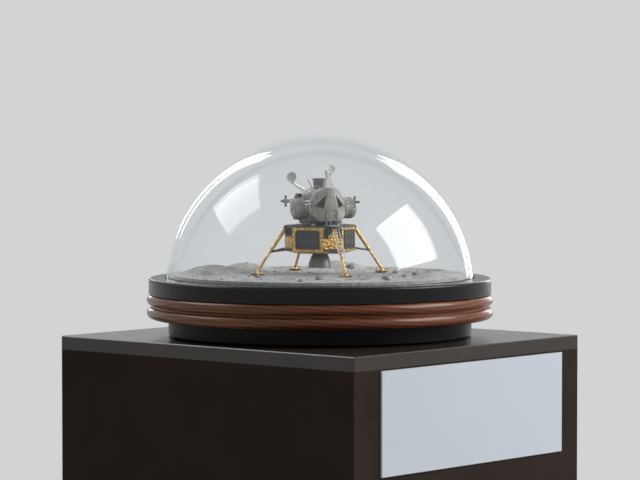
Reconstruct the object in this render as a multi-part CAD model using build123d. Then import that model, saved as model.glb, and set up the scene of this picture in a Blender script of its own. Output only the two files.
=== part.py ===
from build123d import *
import os

# A small display model of a staged lunar lander. It stands on a cratered surface, on a round turned
# base under a clear dome, and the base stands on a tall black plinth with a blank label plate.
# Lengths are millimetres, +Z is up, and the origin is on the floor at the middle of the plinth.
# The label faces -Y.

# Plinth: a closed box of boards, with the top board laid over the walls
PLINTH_WIDTH = 457.0
PLINTH_DEPTH = 508.0
PLINTH_HEIGHT = 762.0
BOARD = 18.0
BOARD_EDGE = 1.2
LABEL_WIDTH = 370.0
LABEL_HEIGHT = 131.0
LABEL_THICKNESS = 3.0
LABEL_BELOW_TOP = 20.0
LABEL_FROM_CORNER = 48.0
LABEL_EDGE = 0.8

# Turned base: foot, moulded wooden ring and black top
WOOD_RADIUS = 228.5
WOOD_HEIGHT = 32.0
BEAD_DEPTH = 6.0
QUIRK_HEIGHT = 2.0
FOOT_SET_BACK = 28.5
FOOT_HEIGHT = 24.0
FOOT_CHAMFER = 3.0
TOP_SET_BACK = 2.5
TOP_HEIGHT = 21.0
TOP_ROUNDING = 4.0

# Clear dome, a thin cap of a sphere that drops into a groove in the black top
DOME_RADIUS = 203.4
DOME_WALL = 4.5
DOME_HEIGHT = 190.0
GROOVE_DEPTH = 3.0
GROOVE_PLAY = 1.5

# Cratered surface, a cast disc let into the black top
SURFACE_RADIUS = 194.0
SURFACE_THICKNESS = 8.0
SURFACE_SINK = 4.0
SURFACE_PLAY = 0.3
RELIEF_ROOT = 1.0
CRATER_SLOPE = 1.45

# The lander is built with its front towards -Y and its feet at height 0, and then turned and lifted
LANDER_TURN = -27.0

# Descent stage
BELLY_Z = 30.7
DECK_Z = 65.1
DECK_THICKNESS = 2.0
DECK_LIP = 0.8
BODY_HALF = 43.9
BODY_FACE_HALF = 14.3
BELLY_RECESS_RADIUS = 19.0
BELLY_RECESS_DEPTH = 4.0
SHIELD_DEPTH = 2.6
SHIELD_INSET = 1.0
SHIELD_FLOOR_HALF = 32.0
BAY_PANEL_WIDTH = 34.0
BAY_PANEL_HEIGHT = 25.0
BAY_PANEL_THICKNESS = 1.4
BAY_PANEL_ROUNDING = 2.5
BAY_FRAME = 1.7
BAY_SINK = 0.6
BAY_QUILT = 0.4
QUILT_GAP = 0.7
WELL_RADIUS = 13.0
WELL_DEPTH = 11.0
BELL_EXIT_RADIUS = 15.6
BELL_EXIT_Z = 9.0
BELL_THROAT_RADIUS = 5.0
BELL_WALL = 0.8
BELL_FLANGE_RADIUS = 9.0
BELL_FLANGE_THICKNESS = 1.7
FIXING_DEPTH = 1.0

# Landing legs
STRUT_TOP_OUT = 49.0
STRUT_TOP_Z = 61.5
PAD_OUT = 88.5
ANKLE_Z = 5.2
BALL_RADIUS = 2.2
CYLINDER_RADIUS = 2.1
PISTON_RADIUS = 1.5
CYLINDER_SHARE = 0.5
COLLAR_RADIUS = 2.7
COLLAR_LENGTH = 2.0
BRACE_RADIUS = 1.2
BRACE_SHARE = 0.55
BRACE_HALF = 11.0
BRACE_Z = 34.0
BRACE_STAND_OFF = 4.0
OUTRIGGER_RADIUS = 1.1
OUTRIGGER_HALF = 10.5
OUTRIGGER_LOW_Z = 49.0
PAD_RADIUS = 9.8
PAD_HEIGHT = 3.0
PAD_FLAT_RADIUS = 4.5
PAD_WALL = 0.8
SOCKET_RADIUS = 3.0
SOCKET_PLAY = 0.05

# Ladder on the front leg, and the porch above it
LADDER_HALF = 4.2
LADDER_STAND_OFF = 4.0
LADDER_START = 3.0
LADDER_PITCH = 5.2
RUNG_COUNT = 9
RAIL_RADIUS = 0.5
RUNG_RADIUS = 0.4
PORCH_HALF = 8.5
PORCH_IN = 36.0
PORCH_OUT = 58.0
PORCH_THICKNESS = 1.0
PORCH_RAIL_HEIGHT = 6.0
PORCH_RAIL_RADIUS = 0.6

# Seats and pegs between the two stages
STAGE_GAP = 2.1
SEAT_RADIUS = 2.8
SEAT_X = 17.0
SEAT_Y = 19.0
PEG_RADIUS = 1.3
PEG_LENGTH = 3.2
PEG_PLAY = 0.15

# Ascent stage
STAGE_BASE_THICKNESS = 4.0
STAGE_BASE_HALF_X = 22.0
STAGE_BASE_HALF_Y = 25.0
STAGE_BASE_CORNER = 6.0
ASCENT_BELL_RADIUS = 7.5
ASCENT_BELL_LENGTH = 7.0
ASCENT_THROAT_RADIUS = 3.0
CABIN_FLOOR_HALF = 15.0
CABIN_HALF = 24.3
CABIN_ROOF_HALF = 8.0
CABIN_ROOF_Z = 115.0
CABIN_FRONT = 40.0
CABIN_BACK = 17.0
STRIP_LOW_HALF = 9.5
STRIP_TOP_HALF = 3.0
BROW_Z = 87.0
CROWN_Z = 112.0
CHEEK_X = 22.0
CHEEK_BACK = 31.0
CHEEK_Z = 90.0
JOWL_BACK = 34.0
JOWL_Z = 78.0
WINDOW_DEPTH = 0.8
WINDOW_RIM_SHARE = 1.22
WINDOW_RIM_HEIGHT = 0.35
HATCH_WIDTH = 14.6
HATCH_HEIGHT = 14.6
HATCH_THICKNESS = 1.3
HATCH_ABOVE_FLOOR = 1.2
HATCH_ROUNDING = 1.9
HATCH_FRAME = 1.1
HATCH_SINK = 0.4
HATCH_HANDLE_RADIUS = 0.35
HATCH_HANDLE_LENGTH = 2.8
HATCH_HINGE_RADIUS = 0.55
HATCH_HINGE_LENGTH = 2.2
HATCH_HINGE_SPREAD = 6.8
MID_HALF = 20.0
MID_TOP_Z = 113.0
MID_SHOULDER = 8.0
MID_BACK = 17.0
AFT_HALF = 23.0
AFT_BACK = 38.0
AFT_TOP_Z = 106.0
AFT_SLOPE = 9.0
BOX_THICKNESS = 2.2
BOX_ROUNDING = 0.8
BOX_FRAME = 0.9
BOX_SINK = 0.5
BOX_FINS = 6
BOX_BOTTOM_Z = 73.5
TANK_RADIUS = 14.0
TANK_Z = 87.0
RIGHT_TANK_REACH = 39.0
LEFT_TANK_REACH = 49.0
TANK_END_RADIUS = 6.5
STRAP_WIDTH = 1.4
STRAP_HEIGHT = 0.35
TANK_BOSS_RADIUS = 3.4
TANK_BOSS_HEIGHT = 0.5
TUNNEL_RADIUS = 9.0
TUNNEL_WALL = 1.2
TUNNEL_TOP_Z = 124.5
TUNNEL_RING_RADIUS = 10.4
TUNNEL_RING_HEIGHT = 1.8
TUNNEL_HATCH_Z = 118.0
TUNNEL_HATCH_THICKNESS = 1.2

# Thruster clusters at the four corners
CLUSTER_OUT = 35.0
CLUSTER_Z = 95.8
CLUSTER_WIDTH = 4.6
CLUSTER_HEIGHT = 6.4
NOZZLE_THROAT = 0.7
NOZZLE_EXIT = 1.6
NOZZLE_LENGTH = 4.2
BOOM_RADIUS = 0.9
BOOM_SPREAD = 4.0

# Tilting radar over the cabin
RADAR_Y = -29.0
RADAR_AXIS_Z = 136.5
RADAR_DISH_RADIUS = 6.35
RADAR_DISH_DEPTH = 1.9
DISH_WALL = 0.5
RADAR_STAND_OFF = 5.0
RADAR_LOOK_UP = 25.0
RADAR_FOOT_WIDTH = 11.0
RADAR_FOOT_DEPTH = 8.0
RADAR_POST_WIDTH = 4.6
RADAR_EAR_THICKNESS = 1.2
RADAR_EAR_HALF_DEPTH = 2.2
RADAR_HUB_HALF = 2.2
RADAR_HUB_RADIUS = 2.0
RADAR_PIN_RADIUS = 0.9
RADAR_HUB_CLEARANCE = 1.5
PIVOT_PLAY = 0.08
SIDE_PLAY = 0.3

# Steerable dish on its side mast
MAST_FOOT_X = -17.0
MAST_FOOT_Z = 107.0
MAST_SPREAD = 5.0
MAST_X = -42.0
MAST_Y = -8.0
MAST_TOP_Z = 121.0
MAST_RADIUS = 1.1
MAST_HEAD_RADIUS = 2.2
MAST_HEAD_HEIGHT = 4.0
SWIVEL_PIN_RADIUS = 1.0
SWIVEL_PIN_DEPTH = 3.0
STEER_HUB_RADIUS = 2.0
STEER_HUB_HEIGHT = 4.0
STEER_DISH_RADIUS = 6.9
STEER_DISH_DEPTH = 2.1
STEER_STAND_OFF = 4.5
STEER_LOOK_UP = 20.0
STEER_LOOK_SIDE = 35.0

# Stalk and feed of both dishes
STALK_RADIUS = 1.2
FEED_RADIUS = 0.4
FEED_HEAD_RADIUS = 1.1

# Fixed aerials and the round docking target
AERIAL_RADIUS = 0.6
AERIAL_LENGTH = 12.0
AERIAL_CAP_RADIUS = 1.8
AERIAL_CAP_HEIGHT = 1.0
AERIAL_X = 14.0
AERIAL_Y = 9.0
TARGET_RADIUS = 4.0
TARGET_THICKNESS = 0.9
TARGET_POST_RADIUS = 0.8
TARGET_RISE = 5.0
TARGET_Y = -9.0

# Heights and radii that the sizes above give
FOOT_RADIUS = WOOD_RADIUS - FOOT_SET_BACK
TOP_RADIUS = WOOD_RADIUS - TOP_SET_BACK
FOOT_TOP_Z = PLINTH_HEIGHT + FOOT_HEIGHT
WOOD_TOP_Z = FOOT_TOP_Z + WOOD_HEIGHT
BASE_TOP_Z = WOOD_TOP_Z + TOP_HEIGHT
DOME_SEAT_Z = BASE_TOP_Z - GROOVE_DEPTH
SURFACE_FLOOR_Z = BASE_TOP_Z - SURFACE_SINK
SURFACE_TOP_Z = SURFACE_FLOOR_Z + SURFACE_THICKNESS
STAGE_BASE_Z = DECK_Z + STAGE_GAP
CABIN_FLOOR_Z = STAGE_BASE_Z + STAGE_BASE_THICKNESS

pieces = {}


def block(low, high):
    """A box between two opposite corners."""
    size = [b - a for a, b in zip(low, high)]
    middle = [(a + b) / 2 for a, b in zip(low, high)]
    return Pos(*middle) * Box(*size)


def rod(start, end, radius, end_radius=None):
    """A round bar, or a cone, between two points."""
    start = Vector(*start)
    run = Vector(*end) - start
    base = (Align.CENTER, Align.CENTER, Align.MIN)
    if end_radius is None:
        bar = Cylinder(radius, run.length, align=base)
    else:
        bar = Cone(radius, end_radius, run.length, align=base)
    return Plane(origin=start, z_dir=run) * bar


def disc(radius, low_z, high_z, x=0.0, y=0.0):
    return rod((x, y, low_z), (x, y, high_z), radius)


def turned(*outline):
    """A solid turned about Z from (radius, height) points and the curves between them."""
    edges = [Line(a, b) if len(between) == 0 else ThreePointArc(a, between[0], b)
             for a, b, *between in outline]
    return revolve(Plane.XZ * make_face(edges), Axis.Z)


def octagon(half, face_half):
    corners = [(face_half, half), (half, face_half), (half, -face_half), (face_half, -half)]
    return make_face(Polyline(*corners, *[(-x, -y) for x, y in corners], close=True))


def upright(face, height):
    return extrude(face, height, dir=(0, 0, 1))


def framed_plate(width, height, thickness, rounding, frame, sink, columns, rows, quilt):
    """A cover on the XY plane: a frame round a sunk field, which rows of raised pads fill."""
    plate = extrude(RectangleRounded(width, height, rounding), thickness)
    field_width, field_height = width - 2 * frame, height - 2 * frame
    floor = thickness - sink
    plate -= Pos(0, 0, floor) * extrude(Rectangle(field_width, field_height), sink)
    pad = Box(field_width / columns - QUILT_GAP, field_height / rows - QUILT_GAP, 2 * quilt)
    for column in range(columns):
        for row in range(rows):
            x = field_width * ((column + 0.5) / columns - 0.5)
            y = field_height * ((row + 0.5) / rows - 0.5)
            plate += Pos(x, y, floor) * pad
    return plate


def beyond(first, second, third):
    """A large block on the outer side of the plane through three points."""
    first, second, third = Vector(*first), Vector(*second), Vector(*third)
    normal = (second - first).cross(third - first)
    if normal.Y > 0:
        normal = normal * -1
    reach = 4 * CABIN_HALF
    cutter = Box(reach, reach, reach, align=(Align.CENTER, Align.CENTER, Align.MIN))
    return Plane(origin=first, x_dir=second - first, z_dir=normal) * cutter


def lander(name, shape):
    """Keep a piece of the lander at its place on the surface."""
    pieces[name] = Pos(0, 0, SURFACE_TOP_Z) * Rot(0, 0, LANDER_TURN) * shape


def make_plinth():
    half_x, half_y = PLINTH_WIDTH / 2, PLINTH_DEPTH / 2
    wall_top = PLINTH_HEIGHT - BOARD
    top = block((-half_x, -half_y, wall_top), (half_x, half_y, PLINTH_HEIGHT))
    top = chamfer(top.edges().group_by(Axis.Z)[-1] + top.edges().filter_by(Axis.Z), BOARD_EDGE)
    pieces["plinth_top"] = top
    for name, side in (("plinth_front", -1), ("plinth_back", 1)):
        wall = Pos(0, side * (half_y - BOARD / 2), wall_top / 2) * Box(PLINTH_WIDTH, BOARD, wall_top)
        corners = wall.edges().filter_by(Axis.Z).sort_by(Axis.Y)
        pieces[name] = chamfer(corners[:2] if side < 0 else corners[2:], BOARD_EDGE)
    inner_y = PLINTH_DEPTH - 2 * BOARD
    for name, side in (("plinth_left", -1), ("plinth_right", 1)):
        pieces[name] = Pos(side * (half_x - BOARD / 2), 0, wall_top / 2) * Box(BOARD, inner_y, wall_top)
    pieces["plinth_floor"] = Pos(0, 0, BOARD / 2) * Box(PLINTH_WIDTH - 2 * BOARD, inner_y, BOARD)
    left = -half_x + LABEL_FROM_CORNER
    top = PLINTH_HEIGHT - LABEL_BELOW_TOP
    label = block((left, -half_y - LABEL_THICKNESS, top - LABEL_HEIGHT), (left + LABEL_WIDTH, -half_y, top))
    pieces["label_plate"] = chamfer(label.edges().group_by(Axis.Y)[0], LABEL_EDGE)


def make_base():
    foot = disc(FOOT_RADIUS, PLINTH_HEIGHT, FOOT_TOP_Z)
    pieces["base_foot"] = chamfer(foot.edges().sort_by(Axis.Z)[0], FOOT_CHAMFER)

    # Two round beads with a narrow quirk between them
    neck = WOOD_RADIUS - BEAD_DEPTH
    quirk_low = FOOT_TOP_Z + (WOOD_HEIGHT - QUIRK_HEIGHT) / 2
    quirk_high = quirk_low + QUIRK_HEIGHT
    low_middle = (FOOT_TOP_Z + quirk_low) / 2
    high_middle = (quirk_high + WOOD_TOP_Z) / 2
    pieces["base_wood"] = turned(
        ((0, FOOT_TOP_Z), (neck, FOOT_TOP_Z)),
        ((neck, FOOT_TOP_Z), (neck, quirk_low), (WOOD_RADIUS, low_middle)),
        ((neck, quirk_low), (neck, quirk_high)),
        ((neck, quirk_high), (neck, WOOD_TOP_Z), (WOOD_RADIUS, high_middle)),
        ((neck, WOOD_TOP_Z), (0, WOOD_TOP_Z)),
        ((0, WOOD_TOP_Z), (0, FOOT_TOP_Z)))

    # Black top, with the groove for the dome and the shallow seat for the surface
    top = disc(TOP_RADIUS, WOOD_TOP_Z, BASE_TOP_Z)
    top = fillet(top.edges().sort_by(Axis.Z)[-1], TOP_ROUNDING)
    rim_drop = DOME_HEIGHT - DOME_RADIUS
    outer = (DOME_RADIUS ** 2 - rim_drop ** 2) ** 0.5 + GROOVE_PLAY
    inner = ((DOME_RADIUS - DOME_WALL) ** 2 - rim_drop ** 2) ** 0.5 - GROOVE_PLAY
    groove = disc(outer, DOME_SEAT_Z, BASE_TOP_Z) - disc(inner, DOME_SEAT_Z, BASE_TOP_Z)
    seat = disc(SURFACE_RADIUS + SURFACE_PLAY, SURFACE_FLOOR_Z, BASE_TOP_Z)
    pieces["base_top"] = top - groove - seat


def make_dome():
    centre = Pos(0, 0, DOME_SEAT_Z + DOME_HEIGHT - DOME_RADIUS)
    shell = centre * Sphere(DOME_RADIUS) - centre * Sphere(DOME_RADIUS - DOME_WALL)
    below = disc(2 * DOME_RADIUS, DOME_SEAT_Z - 2 * DOME_RADIUS, DOME_SEAT_Z)
    pieces["dome"] = shell - below


def make_surface():
    ground = disc(SURFACE_RADIUS, SURFACE_FLOOR_Z, SURFACE_TOP_Z)
    # Every number in the three tables is in hundredths of the surface's radius
    unit = SURFACE_RADIUS / 100
    # Low hills: x, y, radius at the ground, height
    hills = ((-45, 57, 24, 6.2), (10, 77, 19, 4.6), (62, 40, 23, 5.2), (-77, 10, 18, 3.1), (31, -75, 15, 2.6))
    for hill in hills:
        x, y, radius, height = [unit * number for number in hill]
        ball = (radius ** 2 + height ** 2) / (2 * height)
        cap = Pos(x, y, SURFACE_TOP_Z + height - ball) * Sphere(ball)
        ground += cap & disc(radius, SURFACE_TOP_Z - RELIEF_ROOT, SURFACE_TOP_Z + height, x, y)
    # Craters: x, y, radius of the rim, depth, height of the rim
    craters = ((-42, -64, 13, 2.6, 1.3), (66, -38, 14, 3, 1.5), (-10, 54, 9, 2, 1), (77, 10, 7, 1.5, 0.8),
               (-66, -26, 9, 2, 1), (5, -82, 8, 1.8, 0.8), (-67, 46, 7, 1.5, 0.8))
    for crater in craters:
        x, y, radius, depth, rim = [unit * number for number in crater]
        foot = (x, y, SURFACE_TOP_Z - RELIEF_ROOT)
        slope = rod(foot, (x, y, SURFACE_TOP_Z + rim), CRATER_SLOPE * radius, radius)
        ball = (radius ** 2 + (depth + rim) ** 2) / (2 * (depth + rim))
        ground += slope
        ground -= Pos(x, y, SURFACE_TOP_Z + rim + ball - depth - rim) * Sphere(ball)
    # Rocks: x, y, size, and turn in degrees
    rocks = ((-49, -42, 4.6, 20), (-30, -46, 3, 50), (32, -58, 4.2, 35), (15, -62, 2.8, 10),
             (51, -54, 3.2, 70), (-58, 5, 3.6, 15), (0, -62, 4, 60), (-21, 71, 5, 30), (57, 21, 4.6, 5),
             (-72, -46, 3.2, 40), (-20, -76, 5.4, 25), (44, -30, 3, 80))
    for *spot, turn in rocks:
        x, y, size = [unit * number for number in spot]
        stone = Box(size, 0.8 * size, 0.7 * size) & Rot(40, 30, 15) * Box(size, size, 0.9 * size)
        ground += Pos(x, y, SURFACE_TOP_Z + 0.2 * size) * Rot(8, 12, turn) * stone
    pieces["lunar_surface"] = ground


def make_descent_body():
    body = Pos(0, 0, BELLY_Z) * upright(octagon(BODY_HALF, BODY_FACE_HALF), DECK_Z - DECK_THICKNESS - BELLY_Z)
    body -= disc(BELLY_RECESS_RADIUS, BELLY_Z, BELLY_Z + BELLY_RECESS_DEPTH)
    well_floor = DECK_Z - WELL_DEPTH
    body -= disc(WELL_RADIUS, well_floor, DECK_Z)
    lander("descent_body", body)

    deck = Pos(0, 0, DECK_Z - DECK_THICKNESS) * upright(
        octagon(BODY_HALF + DECK_LIP, BODY_FACE_HALF + DECK_LIP / 2), DECK_THICKNESS)
    deck -= disc(WELL_RADIUS, well_floor, DECK_Z)
    lander("descent_deck", deck)

    wide = octagon(BODY_HALF - SHIELD_INSET, BODY_FACE_HALF - SHIELD_INSET / 2)
    narrow = octagon(SHIELD_FLOOR_HALF, SHIELD_FLOOR_HALF * BODY_FACE_HALF / BODY_HALF)
    shield = loft([Pos(0, 0, BELLY_Z) * wide, Pos(0, 0, BELLY_Z - SHIELD_DEPTH) * narrow])
    shield -= disc(BELLY_RECESS_RADIUS, BELLY_Z - SHIELD_DEPTH, BELLY_Z)
    lander("heat_shield", shield)

    # A covered bay on each slanting side of the octagon
    side_out = (BODY_HALF + BODY_FACE_HALF) / 2 ** 0.5
    bay_z = (BELLY_Z + DECK_Z - DECK_THICKNESS) / 2
    bays = []
    panel = framed_plate(BAY_PANEL_WIDTH, BAY_PANEL_HEIGHT, BAY_PANEL_THICKNESS, BAY_PANEL_ROUNDING,
                         BAY_FRAME, BAY_SINK, 3, 2, BAY_QUILT)
    for turn in (45, 135, 225, 315):
        bays.append(Rot(0, 0, turn) * Pos(side_out, 0, bay_z) * (Plane.YZ * panel))
    lander("bay_panels", Compound(bays))

    bell_top = BELLY_Z + BELLY_RECESS_DEPTH - BELL_FLANGE_THICKNESS
    half_z = (bell_top + BELL_EXIT_Z) / 2
    half_r = 0.28 * BELL_THROAT_RADIUS + 0.72 * BELL_EXIT_RADIUS
    inner_exit = BELL_EXIT_RADIUS - BELL_WALL
    inner_throat = BELL_THROAT_RADIUS - BELL_WALL
    bell = turned(
        ((inner_throat, bell_top), (BELL_THROAT_RADIUS, bell_top)),
        ((BELL_THROAT_RADIUS, bell_top), (BELL_EXIT_RADIUS, BELL_EXIT_Z), (half_r, half_z)),
        ((BELL_EXIT_RADIUS, BELL_EXIT_Z), (inner_exit, BELL_EXIT_Z)),
        ((inner_exit, BELL_EXIT_Z), (inner_throat, bell_top), (half_r - BELL_WALL, half_z)))
    bell += disc(BELL_FLANGE_RADIUS, bell_top, bell_top + BELL_FLANGE_THICKNESS)
    lander("engine_bell", bell)


def along(share):
    """A point on the front leg's main strut, from its top at 0 to its ankle at 1."""
    out = STRUT_TOP_OUT + share * (PAD_OUT - STRUT_TOP_OUT)
    return (0, -out, STRUT_TOP_Z + share * (ANKLE_Z - STRUT_TOP_Z))


def main_strut():
    strut = rod(along(0), along(CYLINDER_SHARE), CYLINDER_RADIUS) + rod(along(0), along(1), PISTON_RADIUS)
    length = ((PAD_OUT - STRUT_TOP_OUT) ** 2 + (STRUT_TOP_Z - ANKLE_Z) ** 2) ** 0.5
    collar = COLLAR_LENGTH / length
    strut += rod(along(CYLINDER_SHARE - collar), along(CYLINDER_SHARE), COLLAR_RADIUS)
    strut += rod(along(0), along(collar), COLLAR_RADIUS)
    return strut + Pos(*along(1)) * Sphere(BALL_RADIUS)


def leg_braces(strut, body):
    """The two lower braces with their cross bar, and the upper outrigger, clear of strut and body."""
    frame = None
    bar_out = BODY_HALF + BRACE_STAND_OFF
    for side in (-1, 1):
        foot = (side * BRACE_HALF, -bar_out, BRACE_Z)
        brace = rod(foot, along(BRACE_SHARE), BRACE_RADIUS)
        brace += Pos(*foot) * Sphere(1.3 * BRACE_RADIUS)
        brace += rod((side * BRACE_HALF, FIXING_DEPTH - BODY_HALF, BRACE_Z), foot, BRACE_RADIUS)
        frame = brace if frame is None else frame + brace
    frame += rod((-BRACE_HALF, -bar_out, BRACE_Z), (BRACE_HALF, -bar_out, BRACE_Z), BRACE_RADIUS)
    top = along(0)
    arms = Pos(*top) * Sphere(1.15 * COLLAR_RADIUS)
    for side in (-1, 1):
        for low_z in (STRUT_TOP_Z, OUTRIGGER_LOW_Z):
            arms += rod((side * OUTRIGGER_HALF, FIXING_DEPTH - BODY_HALF, low_z), top, OUTRIGGER_RADIUS)
    return Compound([*(frame - strut - body).solids(), *(arms - strut - body).solids()])


def footpad():
    socket_top = ANKLE_Z - 0.3 * BALL_RADIUS
    pad = turned(
        ((0, 0), (PAD_FLAT_RADIUS, 0)),
        ((PAD_FLAT_RADIUS, 0), (PAD_RADIUS, PAD_HEIGHT), (0.8 * PAD_RADIUS, 0.38 * PAD_HEIGHT)),
        ((PAD_RADIUS, PAD_HEIGHT), (PAD_RADIUS - PAD_WALL, PAD_HEIGHT)),
        ((PAD_RADIUS - PAD_WALL, PAD_HEIGHT), (PAD_FLAT_RADIUS, PAD_WALL),
         (0.8 * PAD_RADIUS - PAD_WALL, 0.38 * PAD_HEIGHT + PAD_WALL)),
        ((PAD_FLAT_RADIUS, PAD_WALL), (0, PAD_WALL)),
        ((0, PAD_WALL), (0, 0)))
    pad += rod((0, 0, 0.5 * PAD_WALL), (0, 0, socket_top), 1.4 * SOCKET_RADIUS, SOCKET_RADIUS)
    pad -= Pos(0, 0, ANKLE_Z) * Sphere(BALL_RADIUS + SOCKET_PLAY)
    return Pos(0, -PAD_OUT, 0) * pad


def make_legs():
    strut = main_strut()
    body = block((-BODY_FACE_HALF, -BODY_HALF, BELLY_Z), (BODY_FACE_HALF, 0, DECK_Z))
    braces = leg_braces(strut, body)
    pad = footpad() - strut
    for name, turn in (("front", 0), ("right", -90), ("rear", 180), ("left", 90)):
        lander(name + "_strut", Rot(0, 0, turn) * (strut - body))
        lander(name + "_braces", Rot(0, 0, turn) * braces)
        lander(name + "_footpad", Rot(0, 0, turn) * pad)
    make_ladder(strut, braces)


def make_ladder(strut, braces):
    """Two rails and rungs, held off the front strut by short brackets."""
    length = ((PAD_OUT - STRUT_TOP_OUT) ** 2 + (STRUT_TOP_Z - ANKLE_Z) ** 2) ** 0.5
    down_out = (PAD_OUT - STRUT_TOP_OUT) / length
    down_z = (ANKLE_Z - STRUT_TOP_Z) / length
    lift = Vector(0, down_z * LADDER_STAND_OFF, down_out * LADDER_STAND_OFF)

    def step(number, x):
        """Where rung number crosses a rail."""
        point = Vector(*along((LADDER_START + number * LADDER_PITCH) / length)) + lift
        return (x, point.Y, point.Z)

    ladder = None
    for side in (-1, 1):
        rail = rod(step(-0.4, side * LADDER_HALF), step(RUNG_COUNT - 0.6, side * LADDER_HALF), RAIL_RADIUS)
        ladder = rail if ladder is None else ladder + rail
    for number in range(RUNG_COUNT):
        ladder += rod(step(number, -LADDER_HALF), step(number, LADDER_HALF), RUNG_RADIUS)
    for number in (1, RUNG_COUNT - 2):
        held = along((LADDER_START + number * LADDER_PITCH) / length)
        ladder += rod(held, step(number, 0), RAIL_RADIUS)
    lander("ladder", ladder - strut - braces)

    porch = block((-PORCH_HALF, -PORCH_OUT, DECK_Z), (PORCH_HALF, -PORCH_IN, DECK_Z + PORCH_THICKNESS))
    rail_z = DECK_Z + PORCH_THICKNESS + PORCH_RAIL_HEIGHT
    for side in (-1, 1):
        x = side * (PORCH_HALF - PORCH_RAIL_RADIUS)
        near, far = -PORCH_OUT + 2 * PORCH_RAIL_RADIUS, -CABIN_FRONT - 4 * PORCH_RAIL_RADIUS
        for y in (near, far):
            porch += rod((x, y, DECK_Z + PORCH_THICKNESS / 2), (x, y, rail_z), PORCH_RAIL_RADIUS)
        porch += rod((x, near, rail_z), (x, far, rail_z), PORCH_RAIL_RADIUS)
        for y in (near, far):
            porch += Pos(x, y, rail_z) * Sphere(PORCH_RAIL_RADIUS)
    lander("porch", porch)


def make_stage_seats():
    """Four pads on the deck, each with a peg that the ascent stage drops over."""
    seats = []
    for x in (-SEAT_X, SEAT_X):
        for y in (-SEAT_Y, SEAT_Y):
            seat = disc(SEAT_RADIUS, DECK_Z, STAGE_BASE_Z, x, y)
            peg = disc(PEG_RADIUS, STAGE_BASE_Z, STAGE_BASE_Z + PEG_LENGTH, x, y)
            seats.append(seat + peg)
    lander("stage_seats", Compound(seats))


def make_stage_base():
    half_x, half_y, corner = STAGE_BASE_HALF_X, STAGE_BASE_HALF_Y, STAGE_BASE_CORNER
    corners = [(half_x - corner, half_y), (half_x, half_y - corner), (half_x, corner - half_y),
               (half_x - corner, -half_y)]
    outline = make_face(Polyline(*corners, *[(-x, -y) for x, y in corners], close=True))
    base = Pos(0, 0, STAGE_BASE_Z) * upright(outline, STAGE_BASE_THICKNESS)
    for x in (-SEAT_X, SEAT_X):
        for y in (-SEAT_Y, SEAT_Y):
            base -= disc(PEG_RADIUS + PEG_PLAY, STAGE_BASE_Z, STAGE_BASE_Z + PEG_LENGTH + PEG_PLAY, x, y)
    lander("stage_base", base)

    bell = rod((0, 0, STAGE_BASE_Z - ASCENT_BELL_LENGTH), (0, 0, STAGE_BASE_Z), ASCENT_BELL_RADIUS,
               ASCENT_THROAT_RADIUS)
    bell -= rod((0, 0, STAGE_BASE_Z - ASCENT_BELL_LENGTH), (0, 0, STAGE_BASE_Z - FIXING_DEPTH),
                ASCENT_BELL_RADIUS - BELL_WALL, ASCENT_THROAT_RADIUS - BELL_WALL)
    lander("ascent_bell", bell)


def window_corner(side, up, outward):
    """A point on the slanting window face: up from the brow to the crown, outward to the cheek."""
    brow = Vector(side * STRIP_LOW_HALF, -CABIN_FRONT, BROW_Z)
    crown = Vector(side * STRIP_TOP_HALF, -CABIN_FRONT, CROWN_Z)
    cheek = Vector(side * CHEEK_X, -CHEEK_BACK, CHEEK_Z)
    return brow + (crown - brow) * up + (cheek - brow) * outward


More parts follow.
